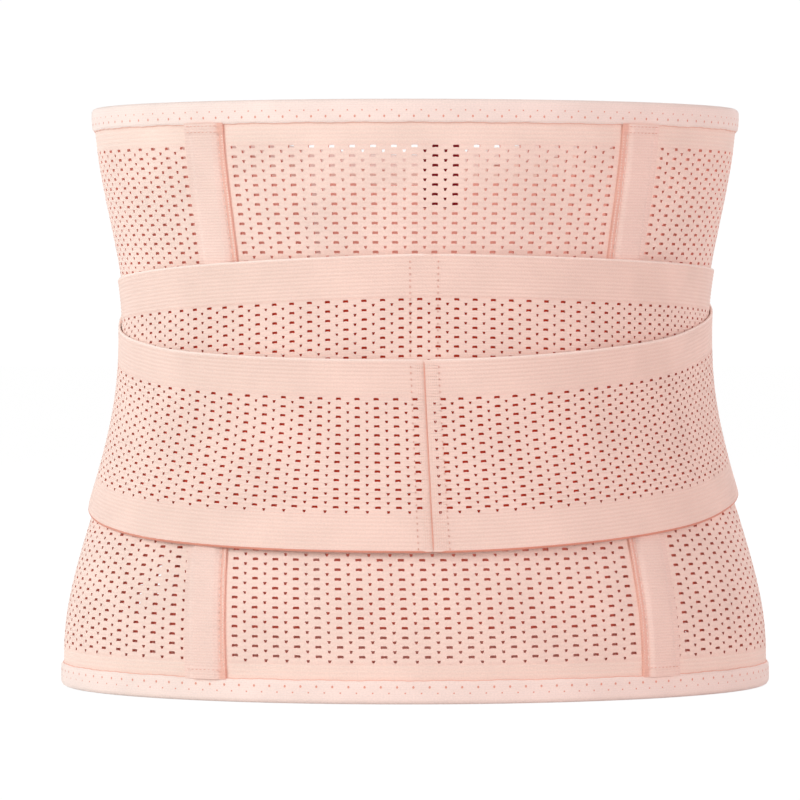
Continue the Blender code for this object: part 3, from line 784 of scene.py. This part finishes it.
def binding(name, spot, first, last):
    """A folded binding, drawn in where its zigzag stitch holds it.

    spot gives the points at distances along the binding, depths from its fold and lifts.
    """
    work = Patchwork()
    section = fold_section()
    along = np.linspace(first, last, max(3, round((last - first) / (ZIGZAG_PITCH / 4)) + 1))
    lifts = np.tile(section[:, 0], (len(along), 1))
    depths = np.tile(section[:, 1], (len(along), 1))
    row = np.arange(len(section))
    pinch = 0.16 * MM * np.exp(-(((depths - zigzag_depth(along)[:, None]) / (0.8 * MM)) ** 2))
    crown = 0.22 * MM * np.sin(np.clip(depths / BINDING_HEIGHT, 0, 1) * math.pi)
    lifts = lifts + np.where(row < OUTSIDE_ROWS, crown - pinch, 0.0) - np.where(row == 0, 0.5 * MM, 0.0)
    wander = 0.08 * MM * np.sin(along / ZIGZAG_PITCH * 2 * math.pi) + 0.10 * MM * np.sin(along * 310.0)
    depths = depths + np.where(row == 0, wander[:, None], 0.0)
    grid = np.broadcast_to(along[:, None], depths.shape)
    points, coords = spot(grid, depths, lifts), np.stack([grid, depths], -1)
    solid = np.concatenate([points.reshape(-1, 3), points[[0, -1]].mean(axis=1)])
    work.add(solid, ring_faces(*depths.shape), np.concatenate([coords.reshape(-1, 2), coords[[0, -1], 0]]))
    zigzag(work, spot, first, last)
    # A thin line of painted shadow along the binding's inner edge
    tube(work, spot(along, BINDING_HEIGHT + 0.1 * MM + wander, PANEL_THICK + 0.14 * MM), 0.25 * MM, 6, 3)
    return work.build(name, [BINDING, THREAD, NEEDLE, PAINTED_SHADE_LINE])


def zigzag(work, spot, first, last):
    """The zigzag thread over a binding, with a small needle hole at each corner."""
    half = ZIGZAG_PITCH / 2
    lift = PANEL_THICK + CLOTH_GAP + BINDING_PUFF + 0.05 * MM
    share = np.linspace(0.06, 0.94, 6)
    bow = np.array([-0.3, -0.06, -0.02, -0.02, -0.06, -0.3]) * MM
    for corner in np.arange(math.ceil(first / half), math.floor(last / half)) * half:
        along = corner + half * share
        tube(work, spot(along, zigzag_depth(along), lift + bow), 0.11 * MM, 4, 1)
        needle_hole(work, spot, corner, lift)


def needle_hole(work, spot, along, lift):
    """A shallow pit in the darker shade that shows round a needle hole."""
    angles = np.linspace(0.0, 2 * math.pi, 7)[:-1]
    depth = float(zigzag_depth(along + 1e-6))
    across, down = 0.42 * MM * np.cos(angles), 0.58 * MM * np.sin(angles)
    ring = spot(along + across, depth + down, lift + 0.06 * MM)
    ends = spot(np.array([along, along]), np.array([depth, depth]), lift + np.array([0.1, -0.4]) * MM)
    k = np.arange(6)
    front_faces = np.stack([k, (k + 1) % 6, np.full(6, 6)], -1)
    back_faces = np.stack([(k + 1) % 6, k, np.full(6, 7)], -1)
    points = np.concatenate([ring, ends])
    work.add(points, [front_faces, back_faces], points[:, [0, 2]], 2)


def level_spot(layout, at_top):
    """Places on the top or the bottom binding of a layout."""
    if at_top:
        return lambda along, depth, lift: layout.points(along, BELT_HEIGHT - depth, lift)
    return lambda along, depth, lift: layout.points(along, depth, lift)


def end_spot(layout, side, end_arc):
    """Places on the binding of a flap's free end."""
    return lambda along, depth, lift: layout.points(end_arc - side * depth, along, lift)


def build_bindings():
    for name, at_top in (("top_binding", True), ("bottom_binding", False)):
        cloth = binding(f"{name}_cloth", level_spot(BELT_LAYOUT, at_top), -HALF_GIRTH, HALF_GIRTH)
        fit(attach(cloth, "belt"), "binding", name)
        for side, word in WORDS.items():
            spot = level_spot(flap_layout(side, flap_base(side)), at_top)
            arcs = flap_arcs(side, FLEX_STARTS, FLAP_END[side] - 1.0 * MM)
            cloth = binding(f"{name}_{word}_cloth", spot, *arcs)
            fit(ride_flex(cloth, side), "binding", f"{name}_{word}")
    first, last = BINDING_HEIGHT - 1 * MM, BELT_HEIGHT - BINDING_HEIGHT + 1 * MM
    for side, word in WORDS.items():
        end = side * reach_arc(FLAP_END[side] - 1.0 * MM)
        spot = end_spot(flap_layout(side, flap_base(side)), side, end)
        cloth = binding(f"end_binding_{word}_cloth", spot, first, last)
        fit(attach(cloth, f"{word}_flap"), "binding", f"end_binding_{word}")


# --- Channels ---
HEM_HEIGHT = 4.3 * MM
SEAM_RIDGE = {"back": 0.5 * MM, "front": 0.42 * MM}


def channel_lift(across):
    """Lift of a channel tape above the panel's outer face: raised over the stay, flat along its hems."""
    from_hem = np.minimum(across, CHANNEL_WIDTH - across)
    return CLOTH_GAP + 1.25 * MM * smooth((from_hem - 2.4 * MM) / (2.0 * MM))


def channel(name, layout, away, ridge):
    """A ribbed tape over a stay, with a raised seam along its edge and a stitched hem at each end. Beside
    the seam lie a band and a thin line of painted shade.
    """
    work = Patchwork()
    low, high = BINDING_HEIGHT - 0.3 * MM, BELT_HEIGHT - BINDING_HEIGHT + 0.3 * MM
    count = round((high - low) / (1.1 * MM))
    levels = np.linspace(low, high, 4 * count + 1)
    across = np.sort(away * np.linspace(0.0, CHANNEL_WIDTH, 19))
    rib = 0.07 * MM * np.cos(np.arange(4 * count + 1) * math.pi / 2)
    from_end = np.minimum(levels - low, high - levels)
    hem = 0.28 * MM * smooth((HEM_HEIGHT - from_end) / (0.4 * MM))
    wrinkle = 0.10 * MM * np.sin(levels * 95.0)[:, None] * np.sin(np.abs(across) * 420.0)[None, :]
    relief = channel_lift(np.abs(across))[None, :] + (rib + hem)[:, None] + wrinkle
    sheet(work, layout, across, levels, TAPE_THICK, relief, lift=PANEL_THICK)
    edge = np.linspace(low, high, 160)
    wander = 0.2 * MM * np.sin(edge * 230.0) + 0.12 * MM * np.sin(edge * 611.0)
    raised_seam = layout.points(away * 0.7 * MM + 0.5 * wander, edge, PANEL_THICK + 0.45 * MM)
    tube(work, raised_seam, ridge, 8, 4)
    # A thin line of painted shade where the tape meets the panel
    seam_shade_line = layout.points(-away * 0.1 * MM + 0.3 * wander, edge, PANEL_THICK + 0.08 * MM)
    tube(work, seam_shade_line, 0.26 * MM, 6, 1)
    top = PANEL_THICK + TAPE_THICK
    near, far = away * 2.1 * MM, away * (CHANNEL_WIDTH - 1.4 * MM)
    stitches(work, layout, (near, near, low, high), top + 0.34 * MM)
    for level in (low + 3.6 * MM, high - 3.6 * MM, high - 1.2 * MM):
        stitches(work, layout, (near, far, level, level), top + 1.72 * MM, 1.3 * MM, 0.5 * MM, material=3)
    return work.build(name, [TAPE_PAINTED_SEAM_SHADE, PAINTED_SHADE_LINE, THREAD, SHADOW_THREAD, TAPE])


def build_channels():
    for side, word in WORDS.items():
        edges = {
            "back": (lambda height, side=side: seam_turn(side, height), side),
            "front": (lambda height, side=side: reach_turn(side, HINGE_EDGE, height), -side),
        }
        for where, (edge, away) in edges.items():
            layout = Layout(girth_beside(edge), channel_level(edge), on_skin)
            tape = channel(f"{word}_{where}_tape", layout, away, SEAM_RIDGE[where])
            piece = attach(tape, "belt") if where == "back" else ride_flex(tape, side)
            fit(piece, "tape", f"{word}_{where}_channel")


def channel_level(edge):
    """Levels of a channel, which follow the dip of the top edge where the channel lies."""
    edge_height = float(top_edge(edge(MID_HEIGHT)))
    return lambda arc, level: dipped(level, edge_height) + 0.0 * arc


# --- Straps ---
def strap_cloth(work, layout, first, last, height, band, knit, phase):
    """Strap webbing: openwork with thin cords, backed by a dark red sheet of painted shade with a painted
    glow, between two ribbed edges.
    """
    openwork(work, layout, first, last, band, height - band, knit, STRAP_THICK, phase, (0, 3, 5))
    # A sheet of painted shade: deep red cloth just under the openwork, where the holes would show only
    # shade
    arcs = spaced(first, last, 3 * MM)
    painted_shade_levels = np.linspace(band, height - band, 30)
    sheet(work, layout, arcs, painted_shade_levels, 0.12 * MM, lift=-0.1 * MM, materials=(5, 5, 5))
    for low, high in ((0.0, band), (height - band, height)):
        ribs(work, layout, first, last, low, high, 1.5 * MM, 0.17 * MM, STRAP_THICK, material=1)
    cords(work, layout, first, last, band, height - band)
    # Painted shade and highlight: the bottom edge in the darker hole-wall colour, the top edge in the
    # lighter cord colour
    selvedge(work, layout, first, last, 0.0, 3)
    selvedge(work, layout, first, last, height, 2)


def cords(work, layout, first, last, low, high):
    """The elastic cords that show as ridges between the rows of holes, in a lighter colour that paints a
    highlight on them.
    """
    rows = round((high - low) / STRAP_KNIT["row"])
    arcs = np.linspace(first + 0.3 * MM, last - 0.3 * MM, len(spaced(first, last, 3.6 * MM)))
    for level in np.linspace(low, high, 2 * rows + 1)[1:-1]:
        wander = RNG.normal(0.0, 0.04 * MM, len(arcs))
        tube(work, layout.points(arcs, level + wander, STRAP_THICK - 0.03 * MM), 0.16 * MM, 4, 2)


def selvedge(work, layout, first, last, level, material):
    """The rounded edge of the webbing."""
    arcs = spaced(first, last, 4 * MM)
    tube(work, layout.points(arcs, np.full(len(arcs), level), STRAP_THICK / 2), 0.56 * MM, 8, material)


LEAN, UPRIGHT_AT = 0.043, 87 * MM  # lean of the lower strap's join, and the height where it crosses its arc
DARNED = {-1: 0.55, 1: 0.9}  # share of the way to the stitch line that is darned on each side
STRETCH_ALONG = np.linspace(-0.25, 0.35, 601)
STRETCH = 1.0 - 0.24 * smooth((STRETCH_ALONG - 45 * MM) / (50 * MM))
STRETCH_STEPS = (STRETCH[1:] + STRETCH[:-1]) / 2 * np.diff(STRETCH_ALONG)
STRETCH_ARCS = np.concatenate([[0.0], np.cumsum(STRETCH_STEPS)])
STRETCH_ARCS -= np.interp(0.0, STRETCH_ALONG, STRETCH_ARCS)


def strap_girth(along, height):
    """The turn at a distance along a strap's own cloth, which is less stretched round the right side."""
    return belt_girth(np.interp(along, STRETCH_ALONG, STRETCH_ARCS), height)


def lapped(base, lap):
    """Lift of a strap half that is raised at the centre back, where it laps over the other half."""
    return lambda turn, height: base(turn, height) + lap * (1.0 - smooth((np.abs(turn) - 1.0) / 5.0))


def leaning_girth(along, height):
    """As strap_girth, but leaning at the centre back, where the lower strap's halves are joined askew."""
    lean = LEAN * (UPRIGHT_AT - height) * (1.0 - smooth((np.abs(along) - 15 * MM) / (45 * MM)))
    return strap_girth(along + lean, height)


def darning(work, layout, first, last, height):
    """Columns of tiny staggered stitches that hold the two halves of a strap together."""
    for i, arc in enumerate(np.arange(first, last, 0.8 * MM)):
        low = 1.0 * MM + 0.5 * MM * (i % 2)
        ends = (arc, arc, low, height - 1.0 * MM)
        stitches(work, layout, ends, STRAP_THICK, 0.6 * MM, 0.5 * MM, 0.12 * MM)


def build_strap(name, side, start, stitch, phase, column):
    """Half of a strap, from its start near the centre back to the soft hinge, with a line of stitches."""
    which = name.split("_")[0]
    height = STRAP_HEIGHT[which]
    top, base, girth = STRAP_COURSE[which]
    lap = 0.5 * MM if name == "lower_strap_right" else 0.0
    end = float(np.interp(side * (HALF_GIRTH - 0.2 * MM), STRETCH_ARCS, STRETCH_ALONG))
    layout = Layout(girth, strap_level(top, height), lapped(base, lap))
    work = Patchwork()
    knit = STRAP_KNIT | {"column": column}
    strap_cloth(work, layout, *sorted((start, end)), height, STRAP_BAND[which], knit, phase)
    ends = (stitch, stitch, 0.5 * MM, height - 0.5 * MM)
    stitches(work, layout, ends, STRAP_THICK + 0.08 * MM, 0.9 * MM, 1.5 * MM, 0.16 * MM, material=4)
    if which == "lower":
        darning(work, layout, *sorted((start + side * 0.9 * MM, stitch * DARNED[side])), height)
        # A thin dark line in the shadow-thread colour down the lower strap's join, where one half laps the
        # other: a painted shadow line
        levels = np.linspace(0.4 * MM, height - 0.4 * MM, 40)
        join = layout.points(np.full(40, start - 0.1 * MM), levels, STRAP_THICK - 0.05 * MM)
        tube(work, join, 0.26 * MM, 6, 4)
    slots = [STRAP, STRAP_RIBS, CORD_PAINTED_HIGHLIGHT, STRAP_HOLES_PAINTED_SHADE, SHADOW_THREAD, STRAP_BACKING_PAINTED_SHADE]
    fit(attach(work.build(f"{name}_webbing", slots), "belt"), "strap", name)


STRAP_COURSE = {
    "upper": (upper_top, upper_lift, strap_girth),
    "lower": (lower_top, lower_lift, leaning_girth),
}


def build_straps():
    build_strap("upper_strap_left", -1, 1.6 * MM, -7.1 * MM, 4.05 * MM, 7.35 * MM)
    build_strap("upper_strap_right", 1, 1.6 * MM, 3.9 * MM, 4.05 * MM, 7.35 * MM)
    build_strap("lower_strap_left", -1, 0.4 * MM, -5.0 * MM, -3.7 * MM, 7.6 * MM)
    build_strap("lower_strap_right", 1, 0.4 * MM, 6.0 * MM, 7.1 * MM, 6.95 * MM)


# --- Pull tabs ---
TAB_MIDDLE, TAB_HALF = (TAB_LOW + TAB_HIGH) / 2, (TAB_HIGH - TAB_LOW) / 2
TAB_CORNER = 9 * MM
TAB_LIFT = 3.8 * MM
SLEEVE_BEHIND = 4.5 * MM
SLEEVE_INSIDE, SLEEVE_OUTSIDE = (3.5 * MM, 3.6 * MM), (7.3 * MM, 5.35 * MM)  # lifts at its back and front


def tab_level(arc, share):
    """Heights of shares from -1 to 1 over a pull tab, which narrows round its free corners."""
    inside = np.clip(reach_arc(TAB_LAST) - np.abs(arc), 0.0, TAB_CORNER)
    cut = TAB_CORNER - np.sqrt(np.maximum(TAB_CORNER ** 2 - (TAB_CORNER - inside) ** 2, 0.0))
    return TAB_MIDDLE + share * (TAB_HALF - cut)


def build_tab(side):
    """The ribbed end of a pair of straps: bound all round, with a stitched box."""
    layout = Layout(flap_girth(side), tab_level, raised(flap_base(side), TAB_LIFT))
    work = Patchwork()
    first, last = flap_arcs(side, TAB_FIRST, TAB_LAST + 0.2 * MM)
    arcs = np.linspace(first, last, 60)
    shares = np.linspace(-1.0, 1.0, 4 * 48 + 1)
    rib = 0.07 * MM * np.cos(np.arange(len(shares)) * math.pi / 2)[:, None]
    puff = 0.35 * MM * np.sin(np.linspace(0.0, math.pi, len(shares)))[:, None] ** 0.5
    sheet(work, layout, arcs, shares, STRAP_THICK, rib + 0.3 * puff)
    tube(work, layout.points(*tab_outline(side, 0.0), STRAP_THICK / 2), 0.95 * MM, 10, 1)
    for inset in (3.2 * MM, 5.4 * MM):
        stitch_line(work, layout, *tab_outline(side, inset), STRAP_THICK + 0.16 * MM)
    word = WORDS[side]
    cloth = work.build(f"{word}_tab_cloth", [STRAP_RIBS, BINDING, THREAD])
    piece = bent(cloth, side, (TAB_FLEX_STARTS, TAB_FLEX_ENDS), TAB_MIDDLE, TAB_LIFT)
    fit(piece, "strap", f"{word}_pull_tab")


def tab_outline(side, inset):
    """Arcs and level shares round a pull tab's free edge, at an inset from it."""
    root, end = reach_arc(TAB_FIRST), reach_arc(TAB_LAST)
    radius = TAB_CORNER - inset
    angles = np.linspace(0.0, math.pi / 2, 9)
    top = TAB_HALF - inset
    arc = [np.linspace(root + 1 * MM, end - TAB_CORNER, 24), end - TAB_CORNER + radius * np.sin(angles)]
    height = [np.full(24, top), top - radius + radius * np.cos(angles)]
    arc = np.concatenate(arc + [group[::-1] for group in arc[::-1]])
    height = np.concatenate(height + [-group[::-1] for group in height[::-1]])
    cut = np.clip(TAB_CORNER - (end - arc), 0.0, TAB_CORNER)
    reach_of_corner = TAB_HALF - TAB_CORNER + np.sqrt(TAB_CORNER ** 2 - cut ** 2)
    return side * arc, height / np.maximum(reach_of_corner, 1e-6)


def stitch_line(work, layout, arcs, levels, lift):
    """Straight stitches along a line of places."""
    gone = arcs_of(layout.points(arcs, levels, 0.0))
    count = int(gone[-1] / (3.1 * MM))
    bow = np.array([-0.14, 0.1, 0.18, 0.1, -0.14]) * MM
    for i in range(count):
        at = (i + np.linspace(0.0, 0.78, 5)) * gone[-1] / count
        path = layout.points(np.interp(at, gone, arcs), np.interp(at, gone, levels), lift + bow)
        tube(work, path, 0.17 * MM, 5, 2)


def build_sleeve(side):
    """The folded tape that joins a pair of straps to their pull tab over the soft hinge."""
    first, last = -SLEEVE_BEHIND, reach_arc(FLEX_ENDS - 1.5 * MM)
    layout = Layout(sleeve_girth(side), tab_level, flap_base(side))
    work = Patchwork()
    arcs = np.sort(side * np.linspace(first, last, 26))
    shares = np.linspace(-1.0, 1.0, 61) * (1.0 + 0.8 * MM / TAB_HALF)
    through = smooth((np.abs(arcs) - first) / (last - first))
    low = SLEEVE_INSIDE[0] + (SLEEVE_INSIDE[1] - SLEEVE_INSIDE[0]) * through
    high = SLEEVE_OUTSIDE[0] + (SLEEVE_OUTSIDE[1] - SLEEVE_OUTSIDE[0]) * through
    rib = 0.06 * MM * np.cos(np.arange(len(shares)) * math.pi / 2)[:, None]
    sheet(work, layout, arcs, shares, (high - low)[None, :] + rib, lift=low[None, :])
    for share in (0.18, 0.82):
        arc = side * (first + (last - first) * share)
        lift = np.interp(share, [0, 1], SLEEVE_OUTSIDE) + 0.1 * MM
        stitches(work, layout, (arc, arc, -0.98, 0.98), lift, 0.06, 0.02, material=1)
    fit(ride_flex(work.build(f"{WORDS[side]}_strap_sleeve", [TAPE, THREAD]), side), "tape")


def sleeve_girth(side):
    """Turns on a flap's arcs that also reach a little behind the start of the soft hinge."""
    front = flap_girth(side)

    def girth(arc, height):
        behind = girth_beside(lambda h: reach_turn(side, FLEX_STARTS, h))(arc, height)
        return np.where(side * arc < 0.0, behind, front(np.maximum(side * arc, 0.0), height))

    return girth


def loop_pad(work, layout, first, last, low, high):
    """A cloth with a pile of small loops, stitched down all round."""
    patch_ground(work, layout, first, last, low, high, 0.0)
    inset, step = 2.6 * MM, 1.5 * MM
    rise = np.array([0.3, 0.52, 0.68, 0.52, 0.3]) * MM
    for level in np.arange(low + inset, high - inset, step):
        for arc in np.arange(first + inset, last - inset, step):
            spin = RNG.uniform(0.0, math.pi)
            centre = np.array([arc, level]) + RNG.normal(0.0, 0.25 * MM, 2)
            sway = np.array([-0.55, -0.45, 0.0, 0.45, 0.55]) * RNG.uniform(0.8, 1.5) * MM
            path = layout.points(centre[0] + sway * math.cos(spin), centre[1] + sway * math.sin(spin), rise)
            tube(work, path, 0.13 * MM, 3, 1)
    frame_stitches(work, layout, first, last, low, high, 0.42 * MM, 1.4 * MM)


def frame_stitches(work, layout, first, last, low, high, lift, inset):
    """Straight stitches round a rectangular patch."""
    a, b, c, d = first + inset, last - inset, low + inset, high - inset
    for ends in ((a, b, c, c), (a, b, d, d), (a, a, c, d), (b, b, c, d)):
        stitches(work, layout, ends, lift)


def patch_ground(work, layout, first, last, low, high, lift):
    arcs = np.linspace(first, last, max(3, int((last - first) / (3 * MM))))
    sheet(work, layout, arcs, np.linspace(low, high, 40), PATCH_THICK, lift=lift)


def hook_pad(work, layout, first, last, low, high):
    """A tape whose inner face carries rows of small hooks."""
    patch_ground(work, layout, first, last, low, high, -PATCH_THICK)
    inset, step = 2.0 * MM, 1.7 * MM
    bend = np.array([0.0, 0.0, 0.12, 0.34, 0.42]) * MM
    drop = np.array([-0.3, -0.52, -0.7, -0.72, -0.6]) * MM
    for i, level in enumerate(np.arange(low + inset, high - inset, step)):
        for arc in np.arange(first + inset + (i % 2) * step / 2, last - inset, step):
            tube(work, layout.points(np.full(5, arc), level + bend, drop), 0.12 * MM, 3, 1)
    frame_stitches(work, layout, first, last, low, high, -0.42 * MM, 1.1 * MM)


def build_patch(name, cad, slot, side, base, body):
    """A patch of hooks or loops on a flap or a pull tab, in place of a flat CAD patch."""
    pad, cloth = PATCHES[slot]
    low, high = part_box(cad)
    layout = Layout(flap_girth(side), own_level, base)
    work = Patchwork()
    pad(work, layout, *flap_arcs(side, side * low.x, side * high.x), low.z, high.z)
    fit(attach(work.build(name, cloth + [THREAD]), body), slot, cad)


PATCH_THICK = 0.35 * MM
PATCHES = {"hook": (hook_pad, [HOOK, HOOK_TIPS]), "loop": (loop_pad, [LOOP, LOOP_PILE])}


def build_closure():
    """The hooks inside the left flap's end and the loops on the right flap that they grip."""
    inside = raised(over_lap, -CLOTH_GAP)
    build_patch("closure_hook_tape", "closure_hook_patch", "hook", -1, inside, "left_flap")
    outside = raised(on_skin, PANEL_THICK + CLOTH_GAP)
    build_patch("closure_pile", "closure_loop_patch", "loop", 1, outside, "right_flap")


def build_tab_patches(side):
    """The pad of loops that a pull tab lands on, and the hooks on the tab's inner face."""
    word, base = WORDS[side], flap_base(side)
    landing = raised(base, PANEL_THICK + CLOTH_GAP)
    build_patch(f"{word}_landing_pile", f"{word}_landing_loop", "loop", side, landing, f"{word}_flap")
    under_tab = raised(base, TAB_LIFT - CLOTH_GAP)
    build_patch(f"{word}_tab_hook_tape", f"{word}_tab_hook", "hook", side, under_tab, f"{word}_tab")


# --- Small pieces of the back ---
def build_label():
    """A plain woven label with a folded end, hanging from the top binding inside the centre back."""
    low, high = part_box("size_label")
    work = Patchwork()
    arcs = np.linspace(low.x, high.x, 15)
    levels = np.linspace(low.z, high.z + 1.5 * MM, 25)
    sag = 0.3 * MM * np.sin((levels[:, None] - low.z) * 120.0) * np.cos((arcs[None, :] - low.x) * 180.0)
    sheet(work, BELT_LAYOUT, arcs, levels, 0.4 * MM, lift=-1.4 * MM + sag)
    sheet(work, BELT_LAYOUT, arcs, np.linspace(low.z, low.z + 5 * MM, 5), 0.3 * MM, lift=-1.9 * MM)
    fit(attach(work.build("woven_label", [LABEL]), "belt"), "label", "size_label")


def build_anchor():
    """The tape at the centre back that the strap halves are sewn to."""
    low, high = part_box("strap_anchor_tape")
    work = Patchwork()
    lift = PANEL_THICK + CLOTH_GAP
    ribs(work, BELT_LAYOUT, low.x, high.x, low.z, high.z, 1.1 * MM, 0.12 * MM, TAPE_THICK, 1.5 * MM, lift)
    for arc in (low.x + 1.5 * MM, high.x - 1.5 * MM):
        stitches(work, BELT_LAYOUT, (arc, arc, low.z, high.z), lift + TAPE_THICK + 0.1 * MM, material=1)
    fit(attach(work.build("anchor_tape", [TAPE, THREAD]), "belt"), "tape", "strap_anchor_tape")


def finish_stays():
    for name in ("left_back_stay", "right_back_stay", "left_front_stay", "right_front_stay"):
        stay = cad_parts[name]
        stay.data.materials.clear()
        stay.data.materials.append(STAY)


build_panels()
build_bindings()
build_channels()
build_straps()
build_label()
build_anchor()
build_closure()
for tab_side in WORDS:
    build_tab_patches(tab_side)
    build_tab(tab_side)
    build_sleeve(tab_side)
finish_stays()


# --- Stage ---
CAMERA_DISTANCE, CAMERA_HEIGHT, CAMERA_TURN = 1.89, 0.1506, math.radians(2.7)
AIM_ACROSS, AIM_HEIGHT = -0.0064, 0.1161
BELT_MIDDLE = Vector((0.0, 0.0, 0.12))
FLOOR_HALF = 12.0


def shown_to_camera(tree, share, others, camera):
    """A shader that is mostly another one for the camera's own rays."""
    seen = tree.nodes.new("ShaderNodeLightPath").outputs["Is Camera Ray"]
    mix = tree.nodes.new("ShaderNodeMixShader")
    for socket, value in zip(mix.inputs, (maths(tree, "MULTIPLY", seen, share), others, camera)):
        feed(tree, socket, value)
    return mix.outputs[0]


def build_floor():
    corners = [(x * FLOOR_HALF, y * FLOOR_HALF, 0.0) for x, y in ((-1, -1), (1, -1), (1, 1), (-1, 1))]
    mesh = bpy.data.meshes.new("floor")
    mesh.from_pydata(corners, [], [(0, 1, 2, 3)])
    floor = bpy.data.objects.new("floor", mesh)
    floor.location.z = -0.2 * MM
    bpy.context.scene.collection.objects.link(floor)
    material, tree, shader = new_material("pale_floor")
    shader["Base Color"].default_value = (0.8, 0.79, 0.78, 1.0)
    shader["Roughness"].default_value = 0.9
    glow = node(tree, "ShaderNodeEmission", Color=(1.0, 1.0, 1.0, 1.0), Strength=1.06).outputs[0]
    cloudy = tree.nodes["Principled BSDF"].outputs[0]
    surface = shown_to_camera(tree, 0.92, cloudy, glow)
    tree.links.new(surface, tree.nodes["Material Output"].inputs["Surface"])
    mesh.materials.append(material)


def build_lights():
    world = bpy.data.worlds.new("studio")
    bpy.context.scene.world = world
    world.use_nodes = True
    tree = world.node_tree
    ambient = tree.nodes["Background"]
    ambient.inputs["Color"].default_value = (1.0, 0.98, 0.97, 1.0)
    ambient.inputs["Strength"].default_value = 0.36
    white = node(tree, "ShaderNodeBackground", Color=(1.0, 1.0, 1.0, 1.0), Strength=1.02).outputs[0]
    surface = shown_to_camera(tree, 1.0, ambient.outputs[0], white)
    tree.links.new(surface, tree.nodes["World Output"].inputs["Surface"])
    add_area("key_light", (-2.0, -1.35, 1.0), 1.2, 38.0, (0.93, 1.0, 0.995))
    add_area("fill_light", (1.85, -1.6, 0.55), 1.4, 27.0, (1.0, 0.85, 0.85))
    add_area("back_left_light", (-1.6, 1.7, 0.55), 1.4, 15.0)
    add_area("back_right_light", (1.2, 2.0, 0.55), 1.4, 15.0)


def add_area(name, location, size, power, colour=(1.0, 1.0, 1.0)):
    light = bpy.data.lights.new(name, "AREA")
    light.size = size
    light.energy = power
    light.color = colour
    lamp = bpy.data.objects.new(name, light)
    lamp.location = location
    lamp.rotation_euler = (BELT_MIDDLE - Vector(location)).to_track_quat("-Z", "Y").to_euler()
    bpy.context.scene.collection.objects.link(lamp)


def build_camera():
    camera = bpy.data.objects.new("camera", bpy.data.cameras.new("camera"))
    camera.data.lens = 207.3
    camera.data.sensor_width = 36.0
    camera.data.clip_start = 0.05
    forward = Vector((math.sin(CAMERA_TURN), math.cos(CAMERA_TURN), 0.0))
    right = Vector((math.cos(CAMERA_TURN), -math.sin(CAMERA_TURN), 0.0))
    aim = right * AIM_ACROSS
    aim.z = AIM_HEIGHT
    camera.location = right * AIM_ACROSS - forward * CAMERA_DISTANCE
    camera.location.z = CAMERA_HEIGHT
    camera.rotation_euler = (aim - camera.location).to_track_quat("-Z", "Y").to_euler()
    bpy.context.scene.collection.objects.link(camera)
    bpy.context.scene.camera = camera


build_floor()
build_lights()
build_camera()
bpy.context.scene.view_settings.view_transform = "Standard"
